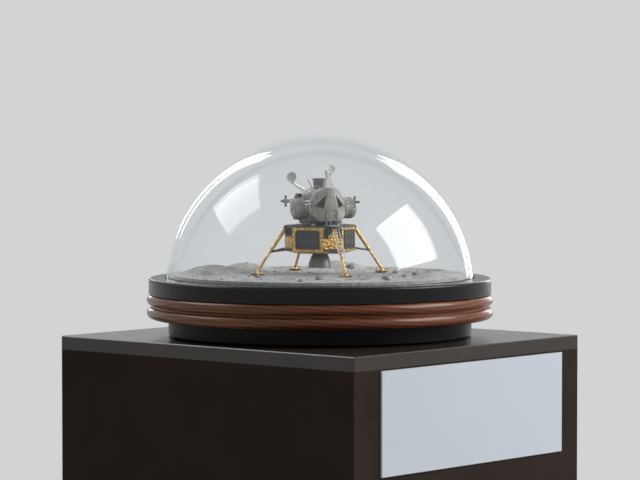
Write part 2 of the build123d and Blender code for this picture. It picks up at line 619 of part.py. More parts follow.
def make_cabin():
    # Half of the faceted section, from the floor up: share of the half width, share of the height
    shares = ((CABIN_FLOOR_HALF / CABIN_HALF, 0), (0.93, 0.181), (1, 0.406), (0.97, 0.589), (0.72, 0.84),
              (CABIN_ROOF_HALF / CABIN_HALF, 1))
    rise = CABIN_ROOF_Z - CABIN_FLOOR_Z
    section = [(CABIN_HALF * across, CABIN_FLOOR_Z + rise * up) for across, up in shares]
    outline = make_face(Polyline(*section, *[(-x, z) for x, z in reversed(section)], close=True))
    cabin = Pos(0, -CABIN_BACK, 0) * extrude(Plane.XZ * outline, CABIN_FRONT - CABIN_BACK, dir=(0, -1, 0))
    for side in (-1, 1):
        brow = (side * STRIP_LOW_HALF, -CABIN_FRONT, BROW_Z)
        crown = (side * STRIP_TOP_HALF, -CABIN_FRONT, CROWN_Z)
        cabin -= beyond(brow, crown, (side * CHEEK_X, -CHEEK_BACK, CHEEK_Z))
        floor = (side * STRIP_LOW_HALF, -CABIN_FRONT, CABIN_FLOOR_Z)
        cabin -= beyond(brow, floor, (side * CHEEK_X, -JOWL_BACK, JOWL_Z))
    # Triangular windows, let into the slanting faces: up, outward of each corner
    corners = ((0.06, 0.14), (0.62, 0.2), (0.1, 0.8))
    windows = []
    for side in (-1, 1):
        outline = [window_corner(side, up, outward) for up, outward in corners]
        inward = (outline[1] - outline[0]).cross(outline[2] - outline[0]).normalized()
        if inward.Y < 0:
            inward = inward * -1
        opening = make_face(Polyline(*outline, close=True))
        middle = (outline[0] + outline[1] + outline[2]) * (1 / 3)
        rim = [middle + (corner - middle) * WINDOW_RIM_SHARE for corner in outline]
        cabin += extrude(make_face(Polyline(*rim, close=True)), WINDOW_RIM_HEIGHT, dir=inward * -1)
        cabin -= extrude(opening, WINDOW_RIM_HEIGHT, dir=inward * -1)
        pane = extrude(opening, WINDOW_DEPTH, dir=inward)
        cabin -= pane
        windows.append(pane)
    lander("cabin", cabin)
    lander("cabin_windows", Compound(windows))

    hatch = framed_plate(HATCH_WIDTH, HATCH_HEIGHT, HATCH_THICKNESS, HATCH_ROUNDING, HATCH_FRAME, HATCH_SINK,
                         1, 1, HATCH_SINK / 2)
    hinge_x = HATCH_FRAME - HATCH_WIDTH / 2
    for y in (-HATCH_HINGE_SPREAD / 2, HATCH_HINGE_SPREAD / 2):
        hatch += rod((hinge_x, y - HATCH_HINGE_LENGTH / 2, HATCH_THICKNESS),
                     (hinge_x, y + HATCH_HINGE_LENGTH / 2, HATCH_THICKNESS), HATCH_HINGE_RADIUS)
    handle_x, handle_z = HATCH_WIDTH / 4, HATCH_THICKNESS + HATCH_HANDLE_RADIUS
    hatch += rod((handle_x, -HATCH_HANDLE_LENGTH / 2, handle_z),
                 (handle_x, HATCH_HANDLE_LENGTH / 2, handle_z), HATCH_HANDLE_RADIUS)
    hatch += rod((handle_x, 0, HATCH_THICKNESS - HATCH_SINK), (handle_x, 0, handle_z), HATCH_HANDLE_RADIUS)
    hatch_z = CABIN_FLOOR_Z + HATCH_ABOVE_FLOOR + HATCH_HEIGHT / 2
    lander("forward_hatch", Pos(0, -CABIN_FRONT, hatch_z) * Rot(90, 0, 0) * hatch)
    return cabin


def make_middle():
    half, shoulder = MID_HALF, MID_SHOULDER
    outline = make_face(Polyline(
        (-half, CABIN_FLOOR_Z), (half, CABIN_FLOOR_Z), (half, MID_TOP_Z - shoulder),
        (half - shoulder, MID_TOP_Z), (shoulder - half, MID_TOP_Z), (-half, MID_TOP_Z - shoulder),
        close=True))
    middle = Pos(0, MID_BACK, 0) * extrude(Plane.XZ * outline, MID_BACK + CABIN_BACK, dir=(0, -1, 0))
    lander("midsection", middle)

    side_view = make_face(Polyline(
        (MID_BACK, CABIN_FLOOR_Z), (AFT_BACK, CABIN_FLOOR_Z), (AFT_BACK, AFT_TOP_Z - AFT_SLOPE),
        (AFT_BACK - AFT_SLOPE, AFT_TOP_Z), (MID_BACK, AFT_TOP_Z), close=True))
    aft = Pos(-AFT_HALF, 0, 0) * extrude(Plane.YZ * side_view, 2 * AFT_HALF, dir=(1, 0, 0))
    # Finned boxes on its back: across, width, height
    boxes = ((-17.5, 8.0, 17.0), (-8.6, 7.4, 20.0), (0.0, 7.4, 18.0), (8.6, 7.4, 20.0), (17.5, 8.0, 17.0))
    bare_aft = aft
    for across, width, height in boxes:
        box = framed_plate(width, height, BOX_THICKNESS, BOX_ROUNDING, BOX_FRAME, BOX_SINK,
                           1, BOX_FINS, BOX_SINK)
        aft += Pos(across, AFT_BACK, BOX_BOTTOM_Z + height / 2) * Rot(-90, 0, 0) * box
    lander("aft_bay", aft)

    # Rounded tank covers: the left one stands further out. Name, side, reach, places of the straps
    covers = (("right_tank", -1, RIGHT_TANK_REACH, (23.5, 31.0)),
              ("left_tank", 1, LEFT_TANK_REACH, (23.5, 32.0, 41.0)))
    for name, side, reach, straps in covers:
        cover = rod((0, 0, MID_HALF), (0, 0, reach), TANK_RADIUS)
        cover = fillet(cover.edges().sort_by(Axis.Z)[-1], TANK_END_RADIUS)
        for place in straps:
            cover += disc(TANK_RADIUS + STRAP_HEIGHT, place - STRAP_WIDTH / 2, place + STRAP_WIDTH / 2)
        cover += disc(TANK_BOSS_RADIUS, reach - TANK_BOSS_HEIGHT, reach + TANK_BOSS_HEIGHT)
        lander(name, Pos(0, 0, TANK_Z) * Rot(0, side * 90, 0) * cover)

    tunnel = disc(TUNNEL_RADIUS, MID_TOP_Z, TUNNEL_TOP_Z)
    tunnel += disc(TUNNEL_RING_RADIUS, TUNNEL_TOP_Z, TUNNEL_TOP_Z + TUNNEL_RING_HEIGHT)
    tunnel -= disc(TUNNEL_RADIUS - TUNNEL_WALL, TUNNEL_HATCH_Z, TUNNEL_TOP_Z + TUNNEL_RING_HEIGHT)
    lander("docking_tunnel", tunnel)
    lander("docking_hatch", disc(TUNNEL_RADIUS - TUNNEL_WALL - SURFACE_PLAY, TUNNEL_HATCH_Z,
                                 TUNNEL_HATCH_Z + TUNNEL_HATCH_THICKNESS))
    return middle, bare_aft


def make_thrusters(cabin, aft):
    # Name, side, end, the body that carries it, and how far back its booms start
    corners = (("front_right", -1, -1, cabin, -(CABIN_BACK + CHEEK_BACK) / 2),
               ("front_left", 1, -1, cabin, -(CABIN_BACK + CHEEK_BACK) / 2),
               ("rear_right", -1, 1, aft, (MID_BACK + AFT_BACK) / 2),
               ("rear_left", 1, 1, aft, (MID_BACK + AFT_BACK) / 2))
    for name, side, end, carrier, root_y in corners:
        middle = Vector(side * CLUSTER_OUT, end * CLUSTER_OUT, CLUSTER_Z)
        cluster = Pos(*middle) * Rot(0, 0, 45) * Box(CLUSTER_WIDTH, CLUSTER_WIDTH, CLUSTER_HEIGHT)
        for rise in (-BOOM_SPREAD, BOOM_SPREAD):
            arm = rod((side * MID_HALF, root_y, CLUSTER_Z + rise), middle, BOOM_RADIUS)
            cluster += arm - carrier
        hollows = []
        # Where each nozzle points, and how far from the middle it leaves the cluster
        nozzles = (((side, 0, 0), CLUSTER_WIDTH / 2), ((0, end, 0), CLUSTER_WIDTH / 2),
                   ((0, 0, 1), CLUSTER_HEIGHT / 2), ((0, 0, -1), CLUSTER_HEIGHT / 2))
        for direction, distance in nozzles:
            direction = Vector(*direction)
            throat = middle + direction * (distance - CLUSTER_WIDTH / 4)
            lip = middle + direction * (distance + NOZZLE_LENGTH)
            cluster += rod(throat, lip, NOZZLE_THROAT, NOZZLE_EXIT)
            hollows.append(rod(middle + direction * distance, lip, 0.4 * NOZZLE_THROAT, 0.8 * NOZZLE_EXIT))
        for hollow in hollows:
            cluster -= hollow
        lander(name + "_thrusters", cluster)


def dish(radius, depth, hub_gap):
    """A thin bowl that looks along +Z, with its stalk down to 0 and a small feed in front."""
    floor = hub_gap
    bowl = turned(
        ((0, floor), (radius, floor + depth), (0.55 * radius, floor + 0.3 * depth)),
        ((radius, floor + depth), (radius, floor + depth + DISH_WALL)),
        ((radius, floor + depth + DISH_WALL), (0, floor + DISH_WALL),
         (0.55 * radius, floor + 0.3 * depth + DISH_WALL)),
        ((0, floor + DISH_WALL), (0, floor)))
    stalk = disc(STALK_RADIUS, 0, floor + DISH_WALL / 2)
    feed = disc(FEED_RADIUS, floor + DISH_WALL / 2, floor + 2.2 * depth)
    return bowl + stalk + feed + disc(FEED_HEAD_RADIUS, floor + 2.0 * depth, floor + 2.3 * depth)


def make_radar(cabin):
    """A fork on the cabin roof, and the dish that tilts in it on its own cross pin."""
    ear_in = RADAR_HUB_HALF + SIDE_PLAY
    ear_out = ear_in + RADAR_EAR_THICKNESS
    depth = RADAR_EAR_HALF_DEPTH
    bridge_z = RADAR_AXIS_Z - RADAR_HUB_RADIUS - RADAR_EAR_THICKNESS - RADAR_HUB_CLEARANCE
    foot = Pos(0, RADAR_Y, CABIN_ROOF_Z - FIXING_DEPTH) * Rectangle(RADAR_FOOT_WIDTH, RADAR_FOOT_DEPTH)
    neck = Pos(0, RADAR_Y, bridge_z) * Rectangle(RADAR_POST_WIDTH, 2 * depth)
    fork = loft([foot, neck])
    fork += block((-ear_out, RADAR_Y - depth, bridge_z - RADAR_EAR_THICKNESS),
                  (ear_out, RADAR_Y + depth, bridge_z))
    for side in (-1, 1):
        inner, outer = sorted((side * ear_in, side * ear_out))
        fork += block((inner, RADAR_Y - depth, bridge_z - RADAR_EAR_THICKNESS),
                      (outer, RADAR_Y + depth, RADAR_AXIS_Z))
        fork += rod((inner, RADAR_Y, RADAR_AXIS_Z), (outer, RADAR_Y, RADAR_AXIS_Z), depth)
    fork -= rod((-ear_out, RADAR_Y, RADAR_AXIS_Z), (ear_out, RADAR_Y, RADAR_AXIS_Z),
                RADAR_PIN_RADIUS + PIVOT_PLAY)
    lander("radar_fork", fork - cabin)

    tilting = rod((-RADAR_HUB_HALF, 0, 0), (RADAR_HUB_HALF, 0, 0), RADAR_HUB_RADIUS)
    tilting += rod((-ear_out, 0, 0), (ear_out, 0, 0), RADAR_PIN_RADIUS)
    tilting += Rot(90 - RADAR_LOOK_UP, 0, 0) * dish(RADAR_DISH_RADIUS, RADAR_DISH_DEPTH, RADAR_STAND_OFF)
    lander("radar_dish", Pos(0, RADAR_Y, RADAR_AXIS_Z) * tilting)


def make_steerable_dish(middle):
    """A slanting mast with a socket on top, and the dish that swivels in it on a short pin."""
    top = (MAST_X, MAST_Y, MAST_TOP_Z)
    mast = rod((MAST_FOOT_X, MAST_Y, MAST_FOOT_Z), top, MAST_RADIUS)
    mast += rod((MAST_FOOT_X, MAST_Y, MAST_FOOT_Z - MAST_SPREAD), top, 0.8 * MAST_RADIUS)
    head_low = MAST_TOP_Z - FIXING_DEPTH
    head_z = head_low + MAST_HEAD_HEIGHT
    mast += disc(MAST_HEAD_RADIUS, head_low, head_z, MAST_X, MAST_Y)
    hole_z = head_z - SWIVEL_PIN_DEPTH - PIVOT_PLAY
    mast -= disc(SWIVEL_PIN_RADIUS + PIVOT_PLAY, hole_z, head_z, MAST_X, MAST_Y)
    lander("dish_mast", mast - middle)

    hub_low = head_z + SIDE_PLAY
    swivel = disc(STEER_HUB_RADIUS, hub_low, hub_low + STEER_HUB_HEIGHT, MAST_X, MAST_Y)
    swivel += disc(SWIVEL_PIN_RADIUS, head_z - SWIVEL_PIN_DEPTH, hub_low, MAST_X, MAST_Y)
    look = dish(STEER_DISH_RADIUS, STEER_DISH_DEPTH, STEER_STAND_OFF)
    aim = Rot(0, 0, -STEER_LOOK_SIDE) * Rot(90 - STEER_LOOK_UP, 0, 0) * look
    swivel += Pos(MAST_X, MAST_Y, hub_low + STEER_HUB_HEIGHT / 2) * aim
    lander("steerable_dish", swivel)


def make_aerials():
    aerials = []
    for side in (-1, 1):
        x = side * AERIAL_X / 2
        low = (x, AERIAL_Y, MID_TOP_Z - FIXING_DEPTH)
        high = Vector(side * AERIAL_X, AERIAL_Y, MID_TOP_Z + AERIAL_LENGTH)
        cap = rod(high, high + Vector(0, 0, AERIAL_CAP_HEIGHT), AERIAL_CAP_RADIUS, AERIAL_RADIUS)
        aerials.append(rod(low, high, AERIAL_RADIUS) + cap)
    flat = block((-MID_HALF, -CABIN_BACK, CABIN_FLOOR_Z), (MID_HALF, MID_BACK, MID_TOP_Z))
    lander("aerials", Compound([aerial - flat for aerial in aerials]))

    x, y = MID_HALF - MID_SHOULDER - TARGET_POST_RADIUS, TARGET_Y
    target = disc(TARGET_POST_RADIUS, MID_TOP_Z, MID_TOP_Z + TARGET_RISE, x, y)
    target += disc(TARGET_RADIUS, MID_TOP_Z + TARGET_RISE, MID_TOP_Z + TARGET_RISE + TARGET_THICKNESS, x, y)
    lander("docking_target", target)


make_plinth()
make_base()
make_dome()
make_surface()
make_descent_body()
make_legs()
make_stage_seats()
make_stage_base()
cabin_shell = make_cabin()
middle_shell, aft_shell = make_middle()
make_thrusters(cabin_shell, aft_shell)
make_radar(cabin_shell)
make_steerable_dish(middle_shell)
make_aerials()

os.makedirs("parts", exist_ok=True)
for node, shape in pieces.items():
    export_step(shape, "parts/" + node + ".step")
print(len(pieces), "nodes written")
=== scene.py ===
# %% [markdown]
# # A lunar lander model under a dome
# This lesson dresses a small display model: a lander on cratered ground, under a clear dome, on a
# turned wooden base and a tall black plinth. The frame already holds every piece at its real size
# and place, in metres. We load it first. Nothing added later may be larger.

# %% Load the frame
import math
import random

import bmesh
import bpy
from mathutils import Matrix, Vector, noise


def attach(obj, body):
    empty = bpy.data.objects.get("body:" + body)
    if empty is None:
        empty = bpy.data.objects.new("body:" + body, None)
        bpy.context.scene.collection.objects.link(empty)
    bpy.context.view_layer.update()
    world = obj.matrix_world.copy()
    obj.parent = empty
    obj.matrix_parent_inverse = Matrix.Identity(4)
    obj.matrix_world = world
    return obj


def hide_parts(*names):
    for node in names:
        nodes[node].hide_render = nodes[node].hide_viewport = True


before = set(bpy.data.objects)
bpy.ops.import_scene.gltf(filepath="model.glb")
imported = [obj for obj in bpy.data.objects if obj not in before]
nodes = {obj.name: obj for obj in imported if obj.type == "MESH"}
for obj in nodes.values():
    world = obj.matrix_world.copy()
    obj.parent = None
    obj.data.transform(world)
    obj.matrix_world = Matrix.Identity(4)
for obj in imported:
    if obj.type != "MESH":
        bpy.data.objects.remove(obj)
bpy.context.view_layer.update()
MM = 0.001

# %% [markdown]
# ## The camera
# The photograph was taken about 3.9 m away, 49 degrees to the left of the face with the label, and a
# little above the dome. We stand in the same place, so every angle agrees with it, and use a longer
# lens to bring the model closer.

# %% Stand the camera where the photograph was taken
CAMERA_AZIMUTH = math.radians(-49)
CAMERA_DISTANCE = 3.89
CAMERA_HEIGHT = 1.07
AIM_HEIGHT = 0.888
LENS = 166.0

scene = bpy.context.scene
camera_data = bpy.data.cameras.new("camera")
camera = bpy.data.objects.new("camera", camera_data)
scene.collection.objects.link(camera)
camera.location = (CAMERA_DISTANCE * math.sin(CAMERA_AZIMUTH), -CAMERA_DISTANCE * math.cos(CAMERA_AZIMUTH),
                   CAMERA_HEIGHT)
aim = Vector((0, 0, AIM_HEIGHT)) - camera.location
camera.rotation_euler = aim.to_track_quat("-Z", "Y").to_euler()
camera_data.lens = LENS
camera_data.clip_end = 100
scene.camera = camera
print("camera at", [round(value, 3) for value in camera.location])

# %% [markdown]
# ## Light
# A display piece looks right under large soft lamps. Four area lamps and a pale world light it at a
# plain level. What the camera and the mirrors see of the world is a little paler than what lights the
# object, so the background stays pale without washing the object out.

# %% Set the world and the lamps
PALE = (0.98, 0.99, 1.0)
WORLD_LIGHT = 0.24
WORLD_SEEN = 0.66
# The rays that see the paler world, besides the camera's own
PALE_RAYS = ("Is Transmission Ray", "Is Glossy Ray")
LAMP_AIM = Vector((0, 0, 0.92))
# Name, place, width, height, watts
LAMPS = (("key lamp", (1.45, -2.35, 2.45), 2.3, 1.8, 97), ("high lamp", (-0.95, 1.9, 2.94), 1.8, 1.3, 24),
         ("right lamp", (2.9, 0.8, 1.75), 0.6, 2.2, 14), ("back lamp", (1.37, 2.47, 1.9), 0.3, 1.8, 8))

scene.view_settings.view_transform = "Standard"
world = bpy.data.worlds.new("pale room")
scene.world = world
world.use_nodes = True
sky = world.node_tree
background = sky.nodes["Background"]
background.inputs["Color"].default_value = (*PALE, 1.0)
# A ray sees the paler world where it comes from the camera, passes clear acrylic or is mirrored
rays = sky.nodes.new("ShaderNodeLightPath")
seen = rays.outputs["Is Camera Ray"]
for kind in PALE_RAYS:
    either = sky.nodes.new("ShaderNodeMath")
    either.operation = "MAXIMUM"
    sky.links.new(seen, either.inputs[0])
    sky.links.new(rays.outputs[kind], either.inputs[1])
    seen = either.outputs[0]
level = sky.nodes.new("ShaderNodeMapRange")
sky.links.new(seen, level.inputs["Value"])
level.inputs["To Min"].default_value = WORLD_LIGHT
level.inputs["To Max"].default_value = WORLD_SEEN
sky.links.new(level.outputs["Result"], background.inputs["Strength"])

for name, place, width, height, watts in LAMPS:
    data = bpy.data.lights.new(name, "AREA")
    data.shape = "RECTANGLE"
    data.size = width
    data.size_y = height
    data.energy = watts
    lamp = bpy.data.objects.new(name, data)
    scene.collection.objects.link(lamp)
    lamp.location = place
    lamp.rotation_euler = (LAMP_AIM - Vector(place)).to_track_quat("-Z", "Y").to_euler()
    print(name, "with", watts, "watts")

# %% [markdown]
# ## Working in edit mode from a script
# Operators act on whatever is selected, so every piece starts with nothing selected. These helpers
# start a primitive, enter edit mode and choose faces or edges by a test. A test on a normal or a
# place does what a click does by hand, and still holds when a size changes.

# %% Start, edit and choose
ops = bpy.ops


def clear_selection():
    if bpy.context.object and bpy.context.object.mode != "OBJECT":
        ops.object.mode_set(mode="OBJECT")
    ops.object.select_all(action="DESELECT")


def start(name, primitive, **settings):
    """Add a primitive and name it."""
    clear_selection()
    primitive(**settings)
    piece = bpy.context.object
    piece.name = name
    piece.data.name = name
    return piece


def activate(*pieces):
    clear_selection()
    for piece in pieces:
        piece.select_set(True)
    bpy.context.view_layer.objects.active = pieces[0]


def edit(piece, mode="VERT", everything=False):
    """Open a piece in edit mode, on request with everything selected."""
    activate(piece)
    ops.object.mode_set(mode="EDIT")
    ops.mesh.select_mode(type=mode)
    if everything:
        ops.mesh.select_all(action="SELECT")


def leave():
    """Leave edit mode."""
    ops.object.mode_set(mode="OBJECT")


def choose(piece, kind, test):
    """In edit mode, select only the faces, edges or vertices that pass a test."""
    mesh = bmesh.from_edit_mesh(piece.data)
    for group in (mesh.faces, mesh.edges, mesh.verts):
        for part in group:
            part.select = False
    for part in getattr(mesh, kind):
        if test(part):
            part.select = True
    mesh.select_flush_mode()
    bmesh.update_edit_mesh(piece.data)


# %% [markdown]
# A finished piece stands at the origin, unturned, with its place in its mesh, so that a pattern on
# Object coordinates stays where it is. Modifiers are applied at once, because the next step often
# needs the faces that they make.

# %% Apply, settle and join
MERGE = 1e-6


def modify(piece, kind, **settings):
    """Add a modifier and apply it."""
    activate(piece)
    modifier = piece.modifiers.new(kind.title(), kind)
    for name, value in settings.items():
        setattr(modifier, name, value)
    ops.object.modifier_apply(modifier=modifier.name)


def soften(piece, width, angle, segments=2):
    """Bevel the edges that turn by more than an angle, by a width in millimetres."""
    modify(piece, "BEVEL", width=width * MM, segments=segments, limit_method="ANGLE",
           angle_limit=math.radians(angle))


def apply_place(piece):
    """Put the piece's place, turn and scale into its mesh."""
    activate(piece)
    ops.object.transform_apply(location=True, rotation=True, scale=True)


def settle(piece, angle=35, place=None):
    """Put the piece's place into its mesh, face it outwards and smooth its shallow edges."""
    apply_place(piece)
    if place is not None:
        piece.data.transform(place)
    edit(piece, everything=True)
    ops.mesh.remove_doubles(threshold=MERGE)
    ops.mesh.normals_make_consistent(inside=False)
    leave()
    ops.object.shade_smooth_by_angle(angle=math.radians(angle))
    clear_selection()
    return piece


def block(name, middle, size):
    """A block, with its middle and its size in millimetres."""
    made = start(name, ops.mesh.primitive_cube_add, size=1, location=[MM * value for value in middle],
                 scale=[MM * value for value in size])
    apply_place(made)
    return made


def join(name, pieces):
    """Make one piece of several."""
    activate(*pieces)
    if len(pieces) > 1:
        ops.object.join()
    joined = bpy.context.object
    joined.name = name
    joined.data.name = name
    clear_selection()
    return joined


def report(piece):
    triangles = sum(len(face.vertices) - 2 for face in piece.data.polygons)
    print(piece.name, "has", triangles, "triangles")


# %% [markdown]
# ## Finishes
# A material is a small sum over space: noise, cells and masks, mixed into colour, roughness and bump.
# A class lets us write those sums as plain Python, and one method makes any other node.


# %% Write shader sums as Python
class Shade:
    """An output of a finish's node, which can be added, multiplied and compared."""

    def __init__(self, finish, socket):
        self.finish = finish
        self.socket = socket

    def sum(self, operation, first, second):
        return self.finish.node("Math", {"operation": operation}, {0: first, 1: second})

    def __add__(self, other):
        return self.sum("ADD", self, other)

    def __radd__(self, other):
        return self.sum("ADD", other, self)

    def __sub__(self, other):
        return self.sum("SUBTRACT", self, other)

    def __rsub__(self, other):
        return self.sum("SUBTRACT", other, self)

    def __mul__(self, other):
        return self.sum("MULTIPLY", self, other)

    def __rmul__(self, other):
        return self.sum("MULTIPLY", other, self)

    def __pow__(self, other):
        return self.sum("POWER", self, other)

    def __gt__(self, other):
        return self.sum("GREATER_THAN", self, other)

    def between(self, low, high):
        """0 at low, 1 at high, smooth in between and level outside."""
        return self.finish.node("MapRange", {"interpolation_type": "SMOOTHSTEP"},
                                {"Value": self, "From Min": low, "From Max": high})


# %% [markdown]
# A finish holds one material and its main shader. Its methods give the patterns that come back again
# and again, each with a size in metres, so that a recipe says how large a grain or a fold really is.


# %% Make finishes and put them on pieces
class Finish:
    """A material with one main shader, whose sockets take numbers, colours or sums."""

    def __init__(self, name, **sockets):
        self.material = bpy.data.materials.new(name)
        self.material.use_nodes = True
        self.tree = self.material.node_tree
        self.shader = self.tree.nodes["Principled BSDF"]
        self.place = self.node("TexCoord", {}, {}, "Object")
        self.set(**sockets)

    def put(self, value, socket):
        """Link a sum, or write a number or a colour."""
        if isinstance(value, Shade):
            self.tree.links.new(value.socket, socket)
        elif isinstance(value, tuple) and len(value) == 3 and socket.type == "RGBA":
            socket.default_value = (*value, 1.0)
        else:
            socket.default_value = value

    def set(self, **sockets):
        """Fill the main shader's sockets: base_color becomes Base Color."""
        for name, value in sockets.items():
            label = name.replace("_", " ").title().replace("Ior", "IOR")
            self.put(value, self.shader.inputs[label])
        return self

    def node(self, kind, settings, sockets, output=0):
        """Any node: its settings first, then its sockets. Gives the named output."""
        made = self.tree.nodes.new("ShaderNode" + kind)
        for name, value in settings.items():
            if name == "stops":
                while len(made.color_ramp.elements) < len(value):
                    made.color_ramp.elements.new(1.0)
                for element, (position, color) in zip(made.color_ramp.elements, value):
                    element.position = position
                    element.color = (*color, 1.0)
            else:
                setattr(made, name, value)
        for name, value in sockets.items():
            self.put(value, made.inputs[name])
        return Shade(self, made.outputs[output])

    def spread(self, stretch=(1, 1, 1), turn=0.0, shift=(0, 0, 0)):
        """Object coordinates, moved, then turned about Z and stretched."""
        moved = self.node("VectorMath", {"operation": "ADD"}, {0: self.place, 1: shift})
        return self.node("Mapping", {"vector_type": "POINT"},
                         {"Vector": moved, "Rotation": (0, 0, turn), "Scale": stretch})

    def noise(self, size, detail=3.0, roughness=0.55, place=None, warp=0.0):
        """Cloudy noise between 0 and 1, whose patches are about a size across."""
        return self.node("TexNoise", {}, {"Vector": place or self.place, "Scale": 1 / size, "Detail": detail,
                                          "Roughness": roughness, "Distortion": warp}, "Fac")

    def cells(self, size, feature="F1", output="Distance", randomness=1.0, place=None):
        return self.node("TexVoronoi", {"feature": feature},
                         {"Vector": place or self.place, "Scale": 1 / size, "Randomness": randomness}, output)

    def part(self, place, axis):
        """One coordinate of a place: X, Y or Z."""
        return self.node("SeparateXYZ", {}, {"Vector": place}, axis)

    def channel(self, color, channel):
        """One part of a colour: Red, Green or Blue."""
        return self.node("SeparateColor", {}, {"Color": color}, channel)

    def mix(self, factor, first, second):
        """The first colour where the factor is 0, the second where it is 1."""
        return self.node("Mix", {"data_type": "RGBA"}, {"Factor": factor, 6: first, 7: second}, 2)

    def ramp(self, value, *stops):
        return self.node("ValToRGB", {"stops": stops}, {"Fac": value}, "Color")

    def bump(self, height, depth, strength=1.0):
        """Raise the surface by a height from 0 to 1, times a depth in metres."""
        bump = self.node("Bump", {}, {"Height": height, "Distance": depth, "Strength": strength}, "Normal")
        return self.set(normal=bump)


def dress(finish, *names):
    """Give a finish to pieces of the frame, or to objects."""
    for name in names:
        piece = nodes[name] if isinstance(name, str) else name
        piece.data.materials.clear()
        piece.data.materials.append(finish.material)
    print(finish.material.name, "on", len(names), "pieces")


# %% [markdown]
# ## Floor
# The floor is a wide disc that fades into the pale world. It is stage, not part of the object. For
# the camera and the mirrors it is mixed with plain light, so it keeps a soft shadow, meets the
# background gently, and metal and lacquer show the same pale room below as above.

# %% Lay the floor
FLOOR_RADIUS, FLOOR_SIDES = 30.0, 128
# The floor is half lamp-lit and half glow near the object, and all glow further away than this
FADE_FROM, FADE_TO = 0.8, 5.0
floor = start("floor", ops.mesh.primitive_circle_add, vertices=FLOOR_SIDES, radius=FLOOR_RADIUS,
              fill_type="NGON")
floor_paint = Finish("floor paint", roughness=0.75)
floor_paint.set(base_color=floor_paint.mix(floor_paint.noise(0.6), (0.74, 0.745, 0.75), (0.78, 0.78, 0.78)))
glow = floor_paint.node("Emission", {}, {"Color": PALE, "Strength": WORLD_SEEN})
seen = floor_paint.node("LightPath", {}, {}, "Is Camera Ray")
for kind in PALE_RAYS:
    other = floor_paint.node("LightPath", {}, {}, kind)
    seen = floor_paint.node("Math", {"operation": "MAXIMUM"}, {0: seen, 1: other})
away = floor_paint.node("VectorMath", {"operation": "LENGTH"}, {0: floor_paint.place}, "Value")
fade = 0.5 + 0.5 * away.between(FADE_FROM, FADE_TO)
painted = Shade(floor_paint, floor_paint.shader.outputs[0])
mixed = floor_paint.node("MixShader", {}, {0: fade * seen, 1: painted, 2: glow})
floor_paint.tree.links.new(mixed.socket, floor_paint.tree.nodes["Material Output"].inputs["Surface"])
dress(floor_paint, floor)

# %% [markdown]
# ## Plinth
# The plinth is board with a black laminate: nearly black and satin, with a fine pebble in the film,
# faint smudges, and paler corners: wear and a painted edge highlight. The corners are found from
# the distance to the box's edges, which needs no unwrapping and stays sharp from near by.

# %% Finish the plinth
PLINTH_HALF_X, PLINTH_HALF_Y, PLINTH_TOP = 0.2285, 0.254, 0.762
# Width of the paler corners, which are wear and a painted edge highlight
PALE_CORNER_WIDTH = 1.6 * MM


def laminate(name, gloss, shine):
    """Black laminate with a fine pebble, and paler corners that are wear and a painted edge highlight."""
    finish = Finish(name, specular_ior_level=gloss)
    pebble = finish.noise(0.5 * MM, 2.0)
    cloud = finish.noise(90 * MM, 4.0)
    smudge = finish.noise(35 * MM, 5.0, 0.65, warp=0.6)
    across = finish.node("Math", {"operation": "ABSOLUTE"}, {0: finish.part(finish.place, "X")})
    along = finish.node("Math", {"operation": "ABSOLUTE"}, {0: finish.part(finish.place, "Y")})
    high = finish.part(finish.place, "Z")
    near_x = across.between(PLINTH_HALF_X - PALE_CORNER_WIDTH, PLINTH_HALF_X)
    near_y = along.between(PLINTH_HALF_Y - PALE_CORNER_WIDTH, PLINTH_HALF_Y)
    near_top = high.between(PLINTH_TOP - PALE_CORNER_WIDTH, PLINTH_TOP)
    # A corner is where two of the three are near their end
    corner = near_x * near_y + near_x * near_top + near_y * near_top
    # Paler corners: partly wear, partly a painted edge highlight
    edge_light_and_wear = corner * finish.noise(6 * MM, 4.0, 0.7).between(0.3, 0.62)
    base = finish.mix(cloud.between(0.3, 0.7), (0.0240, 0.0172, 0.0134), (0.0300, 0.0218, 0.0168))
    scuff = finish.noise(30 * MM, 6.0, 0.8, finish.spread((1, 1, 0.12))).between(0.64, 0.74)
    base = finish.mix(0.25 * scuff, base, (0.05, 0.046, 0.044))
    finish.set(base_color=finish.mix(0.8 * edge_light_and_wear, base, (0.16, 0.15, 0.14)),
               roughness=shine + 0.16 * smudge + 0.06 * pebble)
    return finish.bump(0.8 * pebble + 0.2 * cloud, 0.05 * MM, 0.35)


dress(laminate("black laminate", 0.04, 0.46), "plinth_front", "plinth_back", "plinth_left", "plinth_right",
      "plinth_floor")
dress(laminate("black top laminate", 0.5, 0.13), "plinth_top")


# %% [markdown]
# The label is a blank card on the plinth's face: a smooth pale front and a greyer cut edge where the
# fibres show. One finish does both, because the depth in Y tells the face from the edge.


# %% Finish the label
# How far the label's face, and the start of its cut edge, stand out from the plinth
LABEL_FACE_OUT, LABEL_EDGE_OUT = 2.9 * MM, 2.1 * MM


def label_sheet():
    """A blank pale card: a smooth face and a greyer cut edge."""
    finish = Finish("blank label", roughness=0.4)
    fibre = finish.noise(0.8 * MM, 4.0)
    cloud = finish.noise(60 * MM, 2.0)
    depth = finish.part(finish.place, "Y")
    edge = depth.between(-PLINTH_HALF_Y - LABEL_FACE_OUT, -PLINTH_HALF_Y - LABEL_EDGE_OUT)
    face_tone = finish.mix(cloud, (0.49, 0.535, 0.59), (0.52, 0.565, 0.62))
    edge_tone = finish.mix(fibre, (0.30, 0.30, 0.29), (0.42, 0.41, 0.40))
    finish.set(base_color=finish.mix(edge, face_tone, edge_tone))
    return finish.bump(fibre, 0.03 * MM, 0.3)


dress(label_sheet(), "label_plate")

# %% [markdown]
# ## Turned base
# The ring is reddish hardwood under clear lacquer, turned from a flat board. The tree's rings are
# tubes around an axis far below the board, so they run level along its sides and curve across its
# ends. A Wave texture in rings about X gives just that. Short dark pores lie on top of it.

# %% Finish the wooden ring
TREE_HEART = 0.15
RING_SCALE = 62.0


